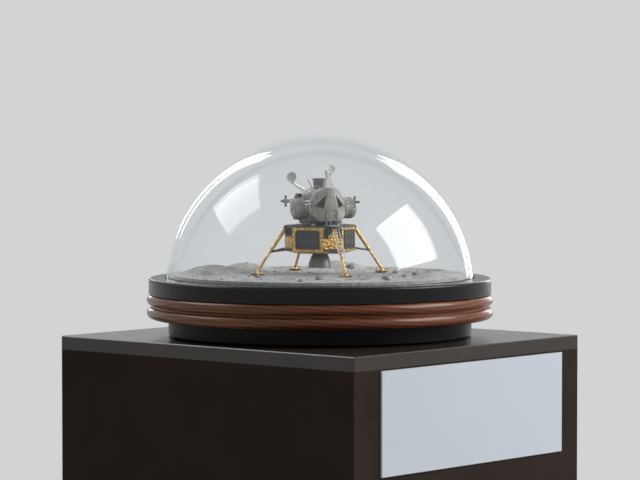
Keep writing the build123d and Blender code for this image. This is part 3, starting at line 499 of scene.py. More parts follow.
def lacquered_wood():
    finish = Finish("lacquered wood", roughness=0.34, coat_weight=0.25, coat_roughness=0.1,
                    specular_ior_level=0.22)
    below = finish.spread((0.12, 1, 1), 0.0, (0.3, 0.02, TREE_HEART))
    rings = finish.node("TexWave", {"wave_type": "RINGS", "rings_direction": "X", "wave_profile": "SAW"},
                        {"Vector": below, "Scale": RING_SCALE, "Distortion": 3.2, "Detail": 4.0,
                         "Detail Scale": 0.5, "Detail Roughness": 0.6}, "Fac")
    streak = finish.noise(3.0 * MM, 5.0, 0.65, finish.spread((0.04, 1, 1)))
    pores = finish.noise(0.7 * MM, 3.0, 0.6, finish.spread((0.05, 1, 1)))
    cloud = finish.noise(70 * MM, 3.0)
    tone = 0.42 * rings + 0.30 * streak + 0.28 * cloud
    base = finish.ramp(tone, (0.22, (0.062, 0.014, 0.006)), (0.5, (0.140, 0.038, 0.012)),
                       (0.78, (0.25, 0.082, 0.026)))
    base = finish.mix(0.45 * pores.between(0.52, 0.68), base, (0.034, 0.009, 0.005))
    finish.set(base_color=base)
    return finish.bump(pores, 0.04 * MM, 0.2)


dress(lacquered_wood(), "base_wood")


# %% [markdown]
# The top and the foot of the base are lacquered black. A trace of dust and a very shallow waviness
# keep them from looking like flat plastic. The foot is duller than the top, so one function makes
# both from two numbers.


# %% Finish the black top and foot
def black_lacquer(name, gloss, shine):
    """Black lacquer with a trace of dust."""
    finish = Finish(name, specular_ior_level=gloss)
    dust = finish.noise(3 * MM, 6.0, 0.7)
    cloud = finish.noise(50 * MM, 3.0)
    base = finish.mix(cloud, (0.0024, 0.0019, 0.0019), (0.0050, 0.0041, 0.0040))
    base = finish.mix(0.3 * dust.between(0.64, 0.78), base, (0.06, 0.06, 0.058))
    finish.set(base_color=base, roughness=shine + 0.12 * dust)
    return finish.bump(finish.noise(9 * MM, 2.0), 0.05 * MM, 0.15)


dress(black_lacquer("black lacquer", 0.24, 0.2), "base_top")
dress(black_lacquer("dark foot", 0.12, 0.34), "base_foot")

# %% [markdown]
# ## Dome
# The dome is blown from one clear sheet. An icosphere has no pole, so its reflections stay even. We
# bisect it at the seat, give the sheet its thickness inwards, and round the cut edge a little.

# %% Blow the dome
DOME_RADIUS, DOME_WALL, DOME_CENTRE_Z, DOME_SEAT_Z = 0.2034, 4.5 * MM, 0.8226, 0.836
dome = start("clear_dome", ops.mesh.primitive_ico_sphere_add, subdivisions=6, radius=DOME_RADIUS,
             location=(0, 0, DOME_CENTRE_Z))
settle(dome)
edit(dome, everything=True)
ops.mesh.bisect(plane_co=(0, 0, DOME_SEAT_Z), plane_no=(0, 0, 1), clear_inner=True, clear_outer=False)
leave()
modify(dome, "SOLIDIFY", thickness=DOME_WALL, offset=-1.0)
soften(dome, width=0.8, angle=50)
settle(dome)
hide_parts("dome")
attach(dome, "dome")
report(dome)

# %% [markdown]
# Clear acrylic passes nearly all light. It mirrors the room mostly where it is seen edge-on, so the
# share of the glossy shader grows with a high power of the facing angle. That is how the rim of the
# dome gets its bright line. Facing is the same on both sides of a sheet, which Fresnel isn't.


# %% Finish the dome
def acrylic():
    finish = Finish("clear acrylic", base_color=(0.93, 0.96, 0.97), specular_ior_level=0.6, metallic=1.0)
    through = finish.node("BsdfTransparent", {}, {"Color": (0.985, 0.992, 0.995)})
    facing = finish.node("LayerWeight", {}, {"Blend": 0.5}, "Facing")
    dust = finish.noise(14 * MM, 6.0, 0.75).between(0.55, 0.8)
    share = 0.026 + 0.75 * facing ** 4.0 + 0.01 * dust
    mirror = Shade(finish, finish.shader.outputs[0])
    mixed = finish.node("MixShader", {}, {0: share, 1: through, 2: mirror})
    finish.set(roughness=0.02 + 0.05 * dust)
    finish.tree.links.new(mixed.socket, finish.tree.nodes["Material Output"].inputs["Surface"])
    return finish


dress(acrylic(), dome)

# %% [markdown]
# ## Ground
# The ground is a cast disc of grey moon soil: low hills, craters with raised rims, and a pebbly
# surface. The hills and craters are the same as in the frame, in hundredths of the disc's radius.
# Small pits are scattered between them, clear of the footpads. The random numbers have a fixed seed,
# so every run draws the same ones.

# %% Plan the hills, craters and pits
GROUND_RADIUS, GROUND_Z = 0.194, 0.843
UNIT = GROUND_RADIUS / 100
PIT_COUNT, PIT_REACH, PIT_SPACE = 90, 0.188, 14 * MM
# Hills: x, y, radius, height
HILLS = ((-45, 57, 24, 6.2), (10, 77, 19, 4.6), (62, 40, 23, 5.2), (-77, 10, 18, 3.1), (31, -75, 15, 2.6))
# Craters: x, y, radius of the rim, depth, height of the rim
CRATERS = ((-42, -64, 13, 2.6, 1.3), (66, -38, 14, 3, 1.5), (-10, 54, 9, 2, 1), (77, 10, 7, 1.5, 0.8),
           (-66, -26, 9, 2, 1), (5, -82, 8, 1.8, 0.8), (-67, 46, 7, 1.5, 0.8))
LANDER_TURN = math.radians(-27)
PAD_OUT = 88.5 * MM
LANDER_PLACE = Matrix.Translation((0, 0, GROUND_Z)) @ Matrix.Rotation(LANDER_TURN, 4, "Z")
pads = [LANDER_PLACE @ Vector((x * PAD_OUT, y * PAD_OUT, 0)) for x, y in ((0, -1), (-1, 0), (0, 1), (1, 0))]

chance = random.Random(11)


def random_spot(reach):
    """A random spot on the ground, evenly spread around its middle."""
    away, angle = reach * math.sqrt(chance.random()), chance.uniform(0, math.tau)
    return away * math.cos(angle), away * math.sin(angle)


def from_pads(x, y):
    """How far a spot lies from the middle of the nearest footpad."""
    return min((Vector((x, y, GROUND_Z)) - pad).length for pad in pads)


pits = []
while len(pits) < PIT_COUNT:
    x, y = random_spot(PIT_REACH)
    size = chance.uniform(1.6, 4.6) * MM
    if from_pads(x, y) > PIT_SPACE + size:
        pits.append((x, y, size, 0.28 * size, 0.1 * size))
craters = [[UNIT * number for number in crater] for crater in CRATERS] + pits
print("hills:", len(HILLS), "craters:", len(CRATERS), "pits:", len(pits))

# %% [markdown]
# Every point of the ground gets its height from one function. A hill is a smooth dome, a crater is a
# bowl with a slope that fades outside its rim, and noise of three sizes makes the soil rough. It is
# level under the feet, with a low ring of soil that they have pushed up.

# %% Work out the height of the ground
RIM_REACH = 1.6
# Around each footpad, in millimetres: radius of the level soil, width of the slope beside it, and
# radius, width and height of the ring of pushed-up soil
LEVEL_RADIUS, LEVEL_SLOPE, PUSHED_RADIUS, PUSHED_WIDTH, PUSHED_RISE = 9.5, 7, 11.5, 1.6, 0.35


def ground_height(x, y):
    """Height over the flat ground, in metres."""
    height = 0.0
    for hill in HILLS:
        hill_x, hill_y, radius, rise = [UNIT * number for number in hill]
        apart = math.hypot(x - hill_x, y - hill_y) / radius
        if apart < 1:
            height = max(height, rise * (1 - apart * apart) ** 1.15)
    for crater_x, crater_y, radius, depth, rim in craters:
        apart = math.hypot(x - crater_x, y - crater_y) / radius
        if apart < 1:
            height += (depth + rim) * apart ** 2.4 - depth
        elif apart < RIM_REACH:
            height += rim * ((RIM_REACH - apart) / (RIM_REACH - 1)) ** 2
    spot = Vector((x, y, 0))
    rough = 0.55 * noise.noise(spot / (16 * MM)) + 0.3 * noise.noise(spot / (6 * MM))
    rough += 0.2 * noise.noise(spot / (2.6 * MM))
    nearest = from_pads(x, y) / MM
    level = min(1.0, max(0.0, (nearest - LEVEL_RADIUS) / LEVEL_SLOPE))
    ring = PUSHED_RISE * math.exp(-((nearest - PUSHED_RADIUS) / PUSHED_WIDTH) ** 2)
    return level * (height + rough * MM) + ring * MM - 0.05 * MM


# %% [markdown]
# We bridge two circles into many fine rings, move each point to its height as a sculptor would, and
# extrude the outer edge down to close the disc. Rings give round craters and an even outer edge,
# which a square grid wouldn't.

# %% Model the ground
GROUND_FLOOR_Z = 0.835
HEART_RADIUS, RING_COUNT, RING_POINTS = 1.2 * MM, 132, 480
ground = start("moon_ground", ops.mesh.primitive_circle_add, vertices=RING_POINTS, radius=GROUND_RADIUS,
               location=(0, 0, GROUND_Z))
heart = start("heart", ops.mesh.primitive_circle_add, vertices=RING_POINTS, radius=HEART_RADIUS,
              location=(0, 0, GROUND_Z))
ground = join("moon_ground", [ground, heart])
settle(ground)
edit(ground, "EDGE", everything=True)
ops.mesh.bridge_edge_loops(number_cuts=RING_COUNT, interpolation="LINEAR")
choose(ground, "edges", lambda edge: max(vert.co.xy.length for vert in edge.verts) < 1.01 * HEART_RADIUS)
ops.mesh.edge_face_add()
ops.mesh.poke()
leave()
for vertex in ground.data.vertices:
    vertex.co.z = GROUND_Z + ground_height(vertex.co.x, vertex.co.y)
edit(ground, "EDGE")
choose(ground, "edges", lambda edge: min(vert.co.xy.length for vert in edge.verts) > 0.9999 * GROUND_RADIUS)
ops.mesh.extrude_edges_move(TRANSFORM_OT_translate={"value": (0, 0, -2 * MM)})
mesh = bmesh.from_edit_mesh(ground.data)
for vert in mesh.verts:
    if vert.select:
        vert.co.z = GROUND_FLOOR_Z
bmesh.update_edit_mesh(ground.data)
ops.mesh.edge_face_add()
leave()
settle(ground, 60)
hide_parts("lunar_surface")
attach(ground, "stand")
report(ground)

# %% [markdown]
# Rocks are icospheres, dented by noise and flattened. A few large ones stand where the frame has
# them, and many small stones lie scattered between. Every stone is sunk a little into the soil.

# %% Scatter the rocks
STONE_COUNT, STONE_REACH, STONE_SPACE = 190, 0.186, 13 * MM
# Rocks: x, y, size, turn in degrees
ROCKS = ((-49, -42, 4.6, 20), (-30, -46, 3, 50), (32, -58, 4.2, 35), (15, -62, 2.8, 10), (51, -54, 3.2, 70),
         (-58, 5, 3.6, 15), (0, -62, 4, 60), (-21, 71, 5, 30), (57, 21, 4.6, 5), (-72, -46, 3.2, 40),
         (-20, -76, 5.4, 25), (44, -30, 3, 80))


def stone(x, y, size, turn, facets, sink):
    """One dented and flattened stone."""
    made = start("stone", ops.mesh.primitive_ico_sphere_add, subdivisions=facets, radius=size / 2)
    seed = Vector((x, y, turn)) * 37
    for vertex in made.data.vertices:
        direction = vertex.co.normalized()
        dent = 1 + 0.42 * noise.noise(direction * 1.3 + seed) + 0.16 * noise.noise(direction * 3.1 + seed)
        vertex.co = vertex.co * dent
        vertex.co.x *= 1.12
        vertex.co.z *= 0.74
    height = GROUND_Z + ground_height(x, y) + sink * size
    made.data.transform(Matrix.Translation((x, y, height)) @ Matrix.Rotation(turn, 4, "Z"))
    return made


stones = [stone(UNIT * x, UNIT * y, 1.15 * UNIT * size, math.radians(turn), 4, 0.16)
          for x, y, size, turn in ROCKS]
while len(stones) < STONE_COUNT:
    x, y = random_spot(STONE_REACH)
    size = (0.9 + 2.6 * chance.random() ** 3) * MM
    if from_pads(x, y) > STONE_SPACE:
        stones.append(stone(x, y, size, chance.uniform(0, 6), 2, 0.12))
rocks = settle(join("rocks", stones), 40)
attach(rocks, "stand")
report(rocks)

# %% [markdown]
# Moon soil is a powder with grains of every size. Noise of three sizes gives it cloudy patches,
# gravel and fine grain, each with a pale and a dark side, and a few cells become black specks. The
# rocks take the same recipe in darker tones, so that they belong to the ground.


# %% Finish the ground
def regolith(name, low, high):
    """Pale grey soil with dark and light specks."""
    finish = Finish(name, roughness=0.93, specular_ior_level=0.2)
    cloud = finish.noise(38 * MM, 5.0, 0.6)
    grain = finish.noise(1.3 * MM, 5.0, 0.7)
    speck = 1 - finish.cells(2.6 * MM).between(0.14, 0.30)
    pick = finish.channel(finish.cells(2.6 * MM, "F1", "Color"), "Red")
    base = finish.mix(cloud.between(0.3, 0.7), low, high)
    gravel = finish.noise(6.5 * MM, 4.0, 0.7)
    base = finish.mix(0.55 * gravel.between(0.55, 0.66), base, (0.80, 0.80, 0.78))
    base = finish.mix(0.60 * (1 - gravel).between(0.54, 0.66), base, (0.15, 0.148, 0.14))
    base = finish.mix(0.6 * grain.between(0.5, 0.72), base, (0.84, 0.84, 0.83))
    base = finish.mix(0.85 * (1 - grain).between(0.56, 0.72), base, (0.17, 0.17, 0.17))
    base = finish.mix(speck * (pick > 0.66), base, (0.07, 0.07, 0.07))
    finish.set(base_color=base)
    return finish.bump(0.6 * grain + 0.4 * finish.noise(5 * MM, 4.0), 0.8 * MM, 0.8)


dress(regolith("moon soil", (0.36, 0.355, 0.34), (0.52, 0.515, 0.495)), ground)
dress(regolith("moon rock", (0.21, 0.205, 0.195), (0.34, 0.335, 0.32)), rocks)


# %% [markdown]
# ## Crinkled film on the lower stage
# The frame's eight-sided body is smooth. The real one is wrapped in thin metal film that creases into
# small flat facets, and each facet catches the light by itself. A sheet is cut into small triangles
# and every point is moved a little in or out. Flat shading keeps the folds sharp, where bump alone
# would leave the outline smooth.

# %% Crease a sheet and seat a piece
FLAT = 0.5


def crease(piece, slip, depth, low=0.0):
    """Cut a sheet into triangles, slip its points sideways and lift them by low to depth, at random."""
    edit(piece, everything=True)
    ops.mesh.quads_convert_to_tris(quad_method="SHORTEST_DIAGONAL")
    leave()
    mesh = bmesh.new()
    mesh.from_mesh(piece.data)
    mesh.normal_update()
    moves = []
    for vert in mesh.verts:
        drift = Vector([chance.uniform(-1, 1) for axis in range(3)]) * slip * MM
        drift -= vert.normal * drift.dot(vert.normal)
        if vert.is_boundary:
            drift *= 0.15
        moves.append(drift + vert.normal * chance.uniform(low, depth) * MM)
    for vert, move in zip(mesh.verts, moves):
        vert.co += move
    mesh.to_mesh(piece.data)
    mesh.free()


def seat(piece, body, angle=FLAT):
    """Put a lander piece on its place, and let it ride. A flat-shaded piece gives no angle."""
    settle(piece, angle, LANDER_PLACE)
    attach(piece, body)
    report(piece)
    return piece


# %% [markdown]
# The film starts as a block whose upright edges are bevelled into eight sides. Its top and bottom go,
# its walls are cut finely and creased, and Solidify gives them thickness. Lander pieces are modelled
# upright around the origin, in the lander's own millimetres, and set on their place at the end.

# %% Wrap the body in film
BODY_HALF, BODY_FACE_HALF, BELLY_Z, BODY_TOP_Z = 43.9, 14.3, 30.7, 63.1
BODY_CORNER = BODY_HALF - BODY_FACE_HALF
SIDE_OUT = (BODY_HALF + BODY_FACE_HALF) / math.sqrt(2)
FILM = 0.15
film = block("foil_wrap", (0, 0, (BELLY_Z + BODY_TOP_Z) / 2),
             (2 * BODY_HALF, 2 * BODY_HALF, BODY_TOP_Z - BELLY_Z - 0.2))
edit(film, "EDGE")
choose(film, "edges", lambda edge: abs(edge.verts[0].co.z - edge.verts[1].co.z) > 10 * MM)
ops.mesh.bevel(offset=BODY_CORNER * MM, segments=1, affect="EDGES")
choose(film, "faces", lambda face: abs(face.normal.z) > 0.9)
ops.mesh.delete(type="FACE")
ops.mesh.select_all(action="SELECT")
ops.mesh.subdivide(number_cuts=17)
leave()
crease(film, slip=0.55, depth=0.75, low=0.2)
modify(film, "SOLIDIFY", thickness=FILM * MM, offset=-1.0)
seat(film, "stand")

# %% [markdown]
# The struts are wound with the same film. Each winding is a tube of nine sides in short rings,
# creased too. So few sides are enough, because the creases hide them, and a strut has two tubes
# because it is thicker in its upper part.


# %% Wind the struts
STRUT_TOP, STRUT_FOOT = Vector((0, -49.0, 61.5)), Vector((0, -88.5, 5.2))
LEG_TURNS = (0, -90, 180, 90)
# Thick and thin part of a strut: start and end of the winding along it, radius
WINDINGS = ((0.04, 0.462, 2.15), (0.51, 0.93, 1.55))


def bar(first, second, radius, sides=12, tip=None):
    """A round bar between two points, in the lander's millimetres."""
    first, second = Vector(first) * MM, Vector(second) * MM
    made = start("bar", ops.mesh.primitive_cone_add, vertices=sides, radius1=radius * MM,
                 radius2=(radius if tip is None else tip) * MM, depth=(second - first).length)
    heading = (second - first).to_track_quat("Z", "Y").to_matrix().to_4x4()
    made.data.transform(Matrix.Translation((first + second) / 2) @ heading)
    return made


def around(piece, turn):
    """A copy of a piece with its own mesh, turned about the lander's middle."""
    twin = piece.copy()
    twin.data = piece.data.copy()
    scene.collection.objects.link(twin)
    twin.data.transform(Matrix.Rotation(math.radians(turn), 4, "Z"))
    return twin


def along_strut(share):
    return STRUT_TOP.lerp(STRUT_FOOT, share)


windings = []
for turn in LEG_TURNS:
    for top, foot, radius in WINDINGS:
        tube = bar(along_strut(top), along_strut(foot), radius, 9)
        edit(tube, "FACE")
        choose(tube, "faces", lambda face: len(face.verts) > 4)
        ops.mesh.delete(type="ONLY_FACE")
        choose(tube, "edges", lambda edge: edge.calc_length() > 8 * MM)
        ops.mesh.subdivide(number_cuts=14)
        leave()
        crease(tube, slip=0.3, depth=0.42, low=0.12)
        modify(tube, "SOLIDIFY", thickness=FILM * MM, offset=-1.0)
        tube.data.transform(Matrix.Rotation(math.radians(turn), 4, "Z"))
        windings.append(tube)
windings = seat(join("strut_wraps", windings), "stand")

# %% [markdown]
# ## Black blankets
# Each narrow side of the body also carries a black blanket, a quilted sheet that is sewn at its edge.
# A grid is creased more gently and hung on the side, from a table of places.

# %% Hang the blankets
BLANKET_OUT = 0.75
# Turn of the side, middle across, middle height, width, height
BLANKETS = ((-90, 0.0, 56.2, 24.0, 11.0), (90, 0.0, 55.0, 24.0, 13.4), (180, 0.0, 52.0, 25.0, 18.0),
            (0, -9.5, 55.0, 7.0, 13.0), (0, 9.5, 55.0, 7.0, 13.0))


def hung(across, height, width, tall):
    """A creased sheet on the body's front side."""
    sheet = start("sheet", ops.mesh.primitive_grid_add, x_subdivisions=12, y_subdivisions=12, size=1,
                  rotation=(math.pi / 2, 0, 0),
                  location=(across * MM, -(BODY_HALF + BLANKET_OUT) * MM, height * MM))
    sheet.scale = (width * MM, tall * MM, 1)
    apply_place(sheet)
    crease(sheet, slip=0.25, depth=0.35)
    modify(sheet, "SOLIDIFY", thickness=0.5 * MM, offset=-1.0)
    return sheet


blankets = []
for turn, across, height, width, tall in BLANKETS:
    sheet = hung(across, height, width, tall)
    sheet.data.transform(Matrix.Rotation(math.radians(turn), 4, "Z"))
    blankets.append(sheet)
blankets = seat(join("black_blankets", blankets), "stand")

# %% [markdown]
# ## Bay doors
# The four slanting sides have framed doors. A plate gets rounded corners by a bevel, its front is
# inset and pushed back to leave a frame, and the sunk field is cut in six and quilted outwards.

# %% Build the bay doors
DOOR_WIDTH, DOOR_HEIGHT, DOOR_DEPTH, DOOR_ROUNDING = 34.0, 25.0, 1.4, 2.5
DOOR_Z = (BELLY_Z + BODY_TOP_Z) / 2
# Between the frame and the quilted field, and between two pads
QUILT_MARGIN, QUILT_GAP = 1.6, 0.7


def framed_plate(name, width, height, depth, rounding, frame_width, sink, columns, rows, quilt):
    """A plate that faces -Y with its back at y = 0: a frame around a sunk field of quilted squares."""
    plate = block(name, (0, -depth / 2, 0), (width, depth, height))
    edit(plate, "EDGE")
    choose(plate, "edges", lambda edge: abs(edge.verts[0].co.y - edge.verts[1].co.y) > 0.5 * depth * MM)
    ops.mesh.bevel(offset=rounding * MM, segments=5, affect="EDGES")
    choose(plate, "faces", lambda face: face.normal.y < -0.9)
    ops.mesh.inset(thickness=frame_width * MM)
    ops.mesh.extrude_region_move(TRANSFORM_OT_translate={"value": (0, sink * MM, 0)})
    leave()
    field_width = width - 2 * frame_width - QUILT_MARGIN
    field_height = height - 2 * frame_width - QUILT_MARGIN
    parts = [plate]
    for column in range(columns):
        for row in range(rows):
            across, up = (column + 0.5) / columns - 0.5, (row + 0.5) / rows - 0.5
            pad = block("pad", (across * field_width, sink - depth, up * field_height),
                        (field_width / columns - QUILT_GAP, 2 * quilt, field_height / rows - QUILT_GAP))
            modify(pad, "BEVEL", width=0.8 * quilt * MM, segments=2)
            parts.append(pad)
    return join(name, parts)


door = framed_plate("door", DOOR_WIDTH, DOOR_HEIGHT, DOOR_DEPTH, DOOR_ROUNDING, frame_width=1.7, sink=0.6,
                    columns=3, rows=2, quilt=0.4)
door.data.transform(Matrix.Translation((0, -SIDE_OUT * MM, DOOR_Z * MM)))
doors = [around(door, turn) for turn in (45, 135, 225, 315)]
bpy.data.objects.remove(door)
doors = join("bay_doors", doors)
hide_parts("bay_panels")
seat(doors, "stand", 30)

# %% [markdown]
# ## Front of the cabin
# Raised frames go round the two triangular windows. Their corners come from the slanting face they
# lie in, by the same two shares as in the frame, so that frame and glass agree. A triangle is inset,
# its middle is deleted, and Solidify and Bevel make a rounded frame of the strip that is left.

# %% Frame the windows
CABIN_FRONT = -40.0
# Brow, crown and cheek of the slanting face
FACE_POINTS = ((9.5, CABIN_FRONT, 87.0), (3.0, CABIN_FRONT, 112.0), (22.0, -31.0, 90.0))
# Corners of the window: share of the way to the crown, share of the way to the cheek
WINDOW_CORNERS = ((0.06, 0.14), (0.62, 0.2), (0.1, 0.8))
# The frame's outer edge as a share of the window, its lift, width and thickness
FRAME_SHARE, FRAME_LIFT, FRAME_WIDTH, FRAME_THICKNESS = 1.25, 0.15, 0.85, 0.7


def window_frame(side):
    brow, crown, cheek = [Vector((side * x, y, z)) for x, y, z in FACE_POINTS]
    corners = [brow + (crown - brow) * up + (cheek - brow) * outward for up, outward in WINDOW_CORNERS]
    middle = sum(corners, Vector()) / 3
    outward = (corners[1] - corners[0]).cross(corners[2] - corners[0]).normalized()
    if outward.y > 0:
        outward = -outward
    made = start("window_frame", ops.mesh.primitive_circle_add, vertices=3, fill_type="NGON")
    for vertex, corner in zip(made.data.vertices, corners):
        vertex.co = (middle + (corner - middle) * FRAME_SHARE + outward * FRAME_LIFT) * MM
    edit(made, "FACE", everything=True)
    ops.mesh.inset(thickness=FRAME_WIDTH * MM)
    ops.mesh.delete(type="FACE")
    leave()
    modify(made, "SOLIDIFY", thickness=FRAME_THICKNESS * MM, offset=0.0)
    modify(made, "BEVEL", width=0.14 * MM, segments=2)
    return made


window_frames = seat(join("window_frames", [window_frame(-1), window_frame(1)]), "ascent_stage",
                     30)

# %% [markdown]
# The forward hatch is the same kind of plate as a bay door, so the same helper makes it, with one
# quilted field. Its side rails, hinges and handle are short round bars that stand on the cabin.

# %% Build the forward hatch
HATCH_Z, HATCH_SIZE = 79.7, 14.6
# Place across and out, and half height, of the side rails, the hinges and the handle
RAIL_X, RAIL_Y, RAIL_HALF = 7.9, -41.6, 5.5
HINGE_X, HINGE_Y, HINGE_HALF = -6.2, -41.5, 1.1
HANDLE_X, HANDLE_Y, HANDLE_HALF = 4.2, -41.9, 1.4


def upright(x, y, middle, half, radius, sides):
    return bar((x, y, middle - half), (x, y, middle + half), radius, sides)


hatch = framed_plate("hatch", HATCH_SIZE, HATCH_SIZE, 1.3, 1.9, frame_width=1.1, sink=0.4, columns=1, rows=1,
                     quilt=0.25)
hatch.data.transform(Matrix.Translation((0, CABIN_FRONT * MM, HATCH_Z * MM)))
parts = [hatch]
for x in (-RAIL_X, RAIL_X):
    parts.append(upright(x, RAIL_Y, HATCH_Z, RAIL_HALF, 0.32, 10))
    for z in (HATCH_Z - 5, HATCH_Z + 5):
        parts.append(bar((x, RAIL_Y, z), (x, CABIN_FRONT + 0.4, z), 0.3, 10))
for z in (HATCH_Z - 3.4, HATCH_Z + 3.4):
    parts.append(upright(HINGE_X, HINGE_Y, z, HINGE_HALF, 0.55, 12))
parts.append(upright(HANDLE_X, HANDLE_Y, HATCH_Z, HANDLE_HALF, 0.35, 10))
parts.append(bar((HANDLE_X, HANDLE_Y, HATCH_Z), (HANDLE_X, -40.6, HATCH_Z), 0.3, 10))
hatch = join("hatch_cover", parts)
soften(hatch, width=0.08, angle=60, segments=1)
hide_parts("forward_hatch")
seat(hatch, "ascent_stage", 40)

# %% [markdown]
# ## Soft edges
# The frame's solids have knife-sharp edges, and no moulding has those. We take a copy of each mesh,
# merge its loose triangles, dissolve the flat ones into whole faces, and bevel what is still sharp.

# %% Round the sharp edges of the mouldings
# Node, body, slot, width of the bevel
SOFTENED = (("cabin", "ascent_stage", "silver_panel", 0.25),
            ("midsection", "ascent_stage", "silver_panel", 0.3),
            ("aft_bay", "ascent_stage", "black_panel", 0.12),
            ("left_tank", "ascent_stage", "silver_panel", 0.15),
            ("right_tank", "ascent_stage", "silver_panel", 0.15),
            ("stage_base", "ascent_stage", "black_panel", 0.3),
            ("descent_deck", "stand", "black_panel", 0.3))
softened = {}
for node, body, slot, width in SOFTENED:
    soft = bpy.data.objects.new("soft_" + node, nodes[node].data.copy())
    scene.collection.objects.link(soft)
    edit(soft, everything=True)
    ops.mesh.remove_doubles(threshold=MERGE)
    ops.mesh.dissolve_limited(angle_limit=math.radians(0.5))
    leave()
    soften(soft, width, angle=28)
    settle(soft, 30)
    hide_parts(node)
    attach(soft, body)
    report(soft)
    softened[node] = soft

# %% [markdown]
# ## Small fittings
# Two round gas bottles sit beside the equipment bay, each with a weld band and a neck, and three
# bands stiffen the engine bell. Their sizes come from short tables, which are easy to change.

# %% Add bottles and bell bands
BOTTLE_RADIUS, BOTTLE_X, BOTTLE_Y, BOTTLE_Z = 5.4, 24.0, 28.5, 84.0
# Weld band and neck of a bottle: inner end and outer end across, radius, sides
BOTTLE_BARS = ((23.4, 24.6, 5.6, 48), (28.8, 30.2, 0.9, 16))
bottles = []
for side in (-1, 1):
    bottle = start("bottle", ops.mesh.primitive_ico_sphere_add, subdivisions=4, radius=BOTTLE_RADIUS * MM,
                   location=(side * BOTTLE_X * MM, BOTTLE_Y * MM, BOTTLE_Z * MM))
    apply_place(bottle)
    bottles.append(bottle)
    for inner, outer, radius, sides in BOTTLE_BARS:
        ends = [(side * x, BOTTLE_Y, BOTTLE_Z) for x in (inner, outer)]
        bottles.append(bar(*ends, radius, sides))
bottles = join("gas_bottles", bottles)
soften(bottles, width=0.12, angle=50)
seat(bottles, "ascent_stage", 40)

# Radius of the bell at the band, height, thickness
BANDS = ((15.5, 9.3, 0.35), (12.6, 21.0, 0.4), (9.4, 27.6, 0.35))
bands = []
for radius, height, thickness in BANDS:
    band = start("band", ops.mesh.primitive_torus_add, major_radius=radius * MM, minor_radius=thickness * MM,
                 major_segments=72, minor_segments=8, location=(0, 0, height * MM))
    apply_place(band)
    bands.append(band)
bands = seat(join("bell_bands", bands), "stand", 60)

# %% [markdown]
# Sixteen small nozzles stand out from the four thruster clusters. One bell is enough: a cone is cut
# across and widened there, and its open end is inset and pushed in to hollow it. Copies go to each
# cluster, one for each way it can push.

# %% Shape a nozzle and copy it
CLUSTER_OUT, CLUSTER_Z = 35.0, 95.8
CLUSTER_HALF_WIDTH, CLUSTER_HALF_HEIGHT = 2.3, 3.2
NOZZLE_SUNK, NOZZLE_LENGTH, NOZZLE_WAIST, NOZZLE_HOLLOW = 0.3, 4.25, 2.0, 3.4
NOZZLE_THROAT, NOZZLE_MOUTH, NOZZLE_WALL = 0.93, 1.7, 0.45
nozzle = bar((0, 0, -NOZZLE_SUNK), (0, 0, NOZZLE_LENGTH), NOZZLE_THROAT, 24, NOZZLE_MOUTH)
edit(nozzle, "EDGE", everything=True)
ops.mesh.bisect(plane_co=(0, 0, NOZZLE_WAIST * MM), plane_no=(0, 0, 1))
ops.transform.resize(value=(1.08, 1.08, 1), center_override=(0, 0, 0))
choose(nozzle, "faces", lambda face: face.normal.z > 0.9)
ops.mesh.inset(thickness=NOZZLE_WALL * MM)
ops.mesh.extrude_region_move(TRANSFORM_OT_translate={"value": (0, 0, -NOZZLE_HOLLOW * MM)})
ops.transform.resize(value=(0.32, 0.32, 1), center_override=(0, 0, 0))
leave()
soften(nozzle, width=0.07, angle=50, segments=1)
nozzles = []
for side in (-1, 1):
    for end in (-1, 1):
        middle = Vector((side * CLUSTER_OUT, end * CLUSTER_OUT, CLUSTER_Z))
        for heading, out in (((side, 0, 0), CLUSTER_HALF_WIDTH), ((0, end, 0), CLUSTER_HALF_WIDTH),
                             ((0, 0, 1), CLUSTER_HALF_HEIGHT), ((0, 0, -1), CLUSTER_HALF_HEIGHT)):
            heading = Vector(heading)
            twin = around(nozzle, 0)
            turned = heading.to_track_quat("Z", "Y").to_matrix().to_4x4()
            twin.data.transform(Matrix.Translation((middle + heading * out) * MM) @ turned)
            nozzles.append(twin)
bpy.data.objects.remove(nozzle)
nozzles = seat(join("thruster_bells", nozzles), "ascent_stage", 40)

# %% [markdown]
# Thin rails run along the roof, and small lamps and stub aerials stand out from the upper stage. A
# bent rail is a chain of straight bars with a ball in each bend, which looks as smooth as a curve at
# this size.

# %% Add rails and lights
fittings = []
ROOF_RAIL_X = 9.5
# Path of a rail on the roof: along the cabin, height
ROOF_RAIL = ((-22.0, 114.2), (-22.0, 116.6), (-4.0, 116.6), (-4.0, 112.8))
for x in (-ROOF_RAIL_X, ROOF_RAIL_X):
    path = [(x, y, z) for y, z in ROOF_RAIL]
    for first, second in zip(path, path[1:]):
        fittings.append(bar(first, second, 0.35, 10))
    for corner in path[1:-1]:
        knee = start("knee", ops.mesh.primitive_ico_sphere_add, subdivisions=2, radius=0.36 * MM,
                     location=Vector(corner) * MM)
        apply_place(knee)
        fittings.append(knee)
# Lamps and small aerials: foot, tip, radius, radius of the tip
STUBS = (((0, -39.4, 104.5), (0, -41.2, 104.9), 1.5, 1.1),
         ((-20.5, -30, 100), (-22.4, -31.2, 100.6), 0.8, 0.5),
         ((20.5, -30, 100), (22.4, -31.2, 100.6), 0.8, 0.5),
         ((12, 24, 105), (12, 24, 112.5), 0.7, 0.35),
         ((-6, 25, 105), (-6, 25, 108.6), 1.3, 1.0))
for foot, tip, radius, tip_radius in STUBS:
    fittings.append(bar(foot, tip, radius, 20, tip_radius))
fittings = join("small_fittings", fittings)
soften(fittings, width=0.1, angle=60, segments=1)
seat(fittings, "ascent_stage", 40)

# %% [markdown]
# ## Lander finishes
# The film is amber metal. Cells of two sizes add softer folds to the modelled creases, in bump and in
# colour, and the roughness wanders so that no two folds shine alike.


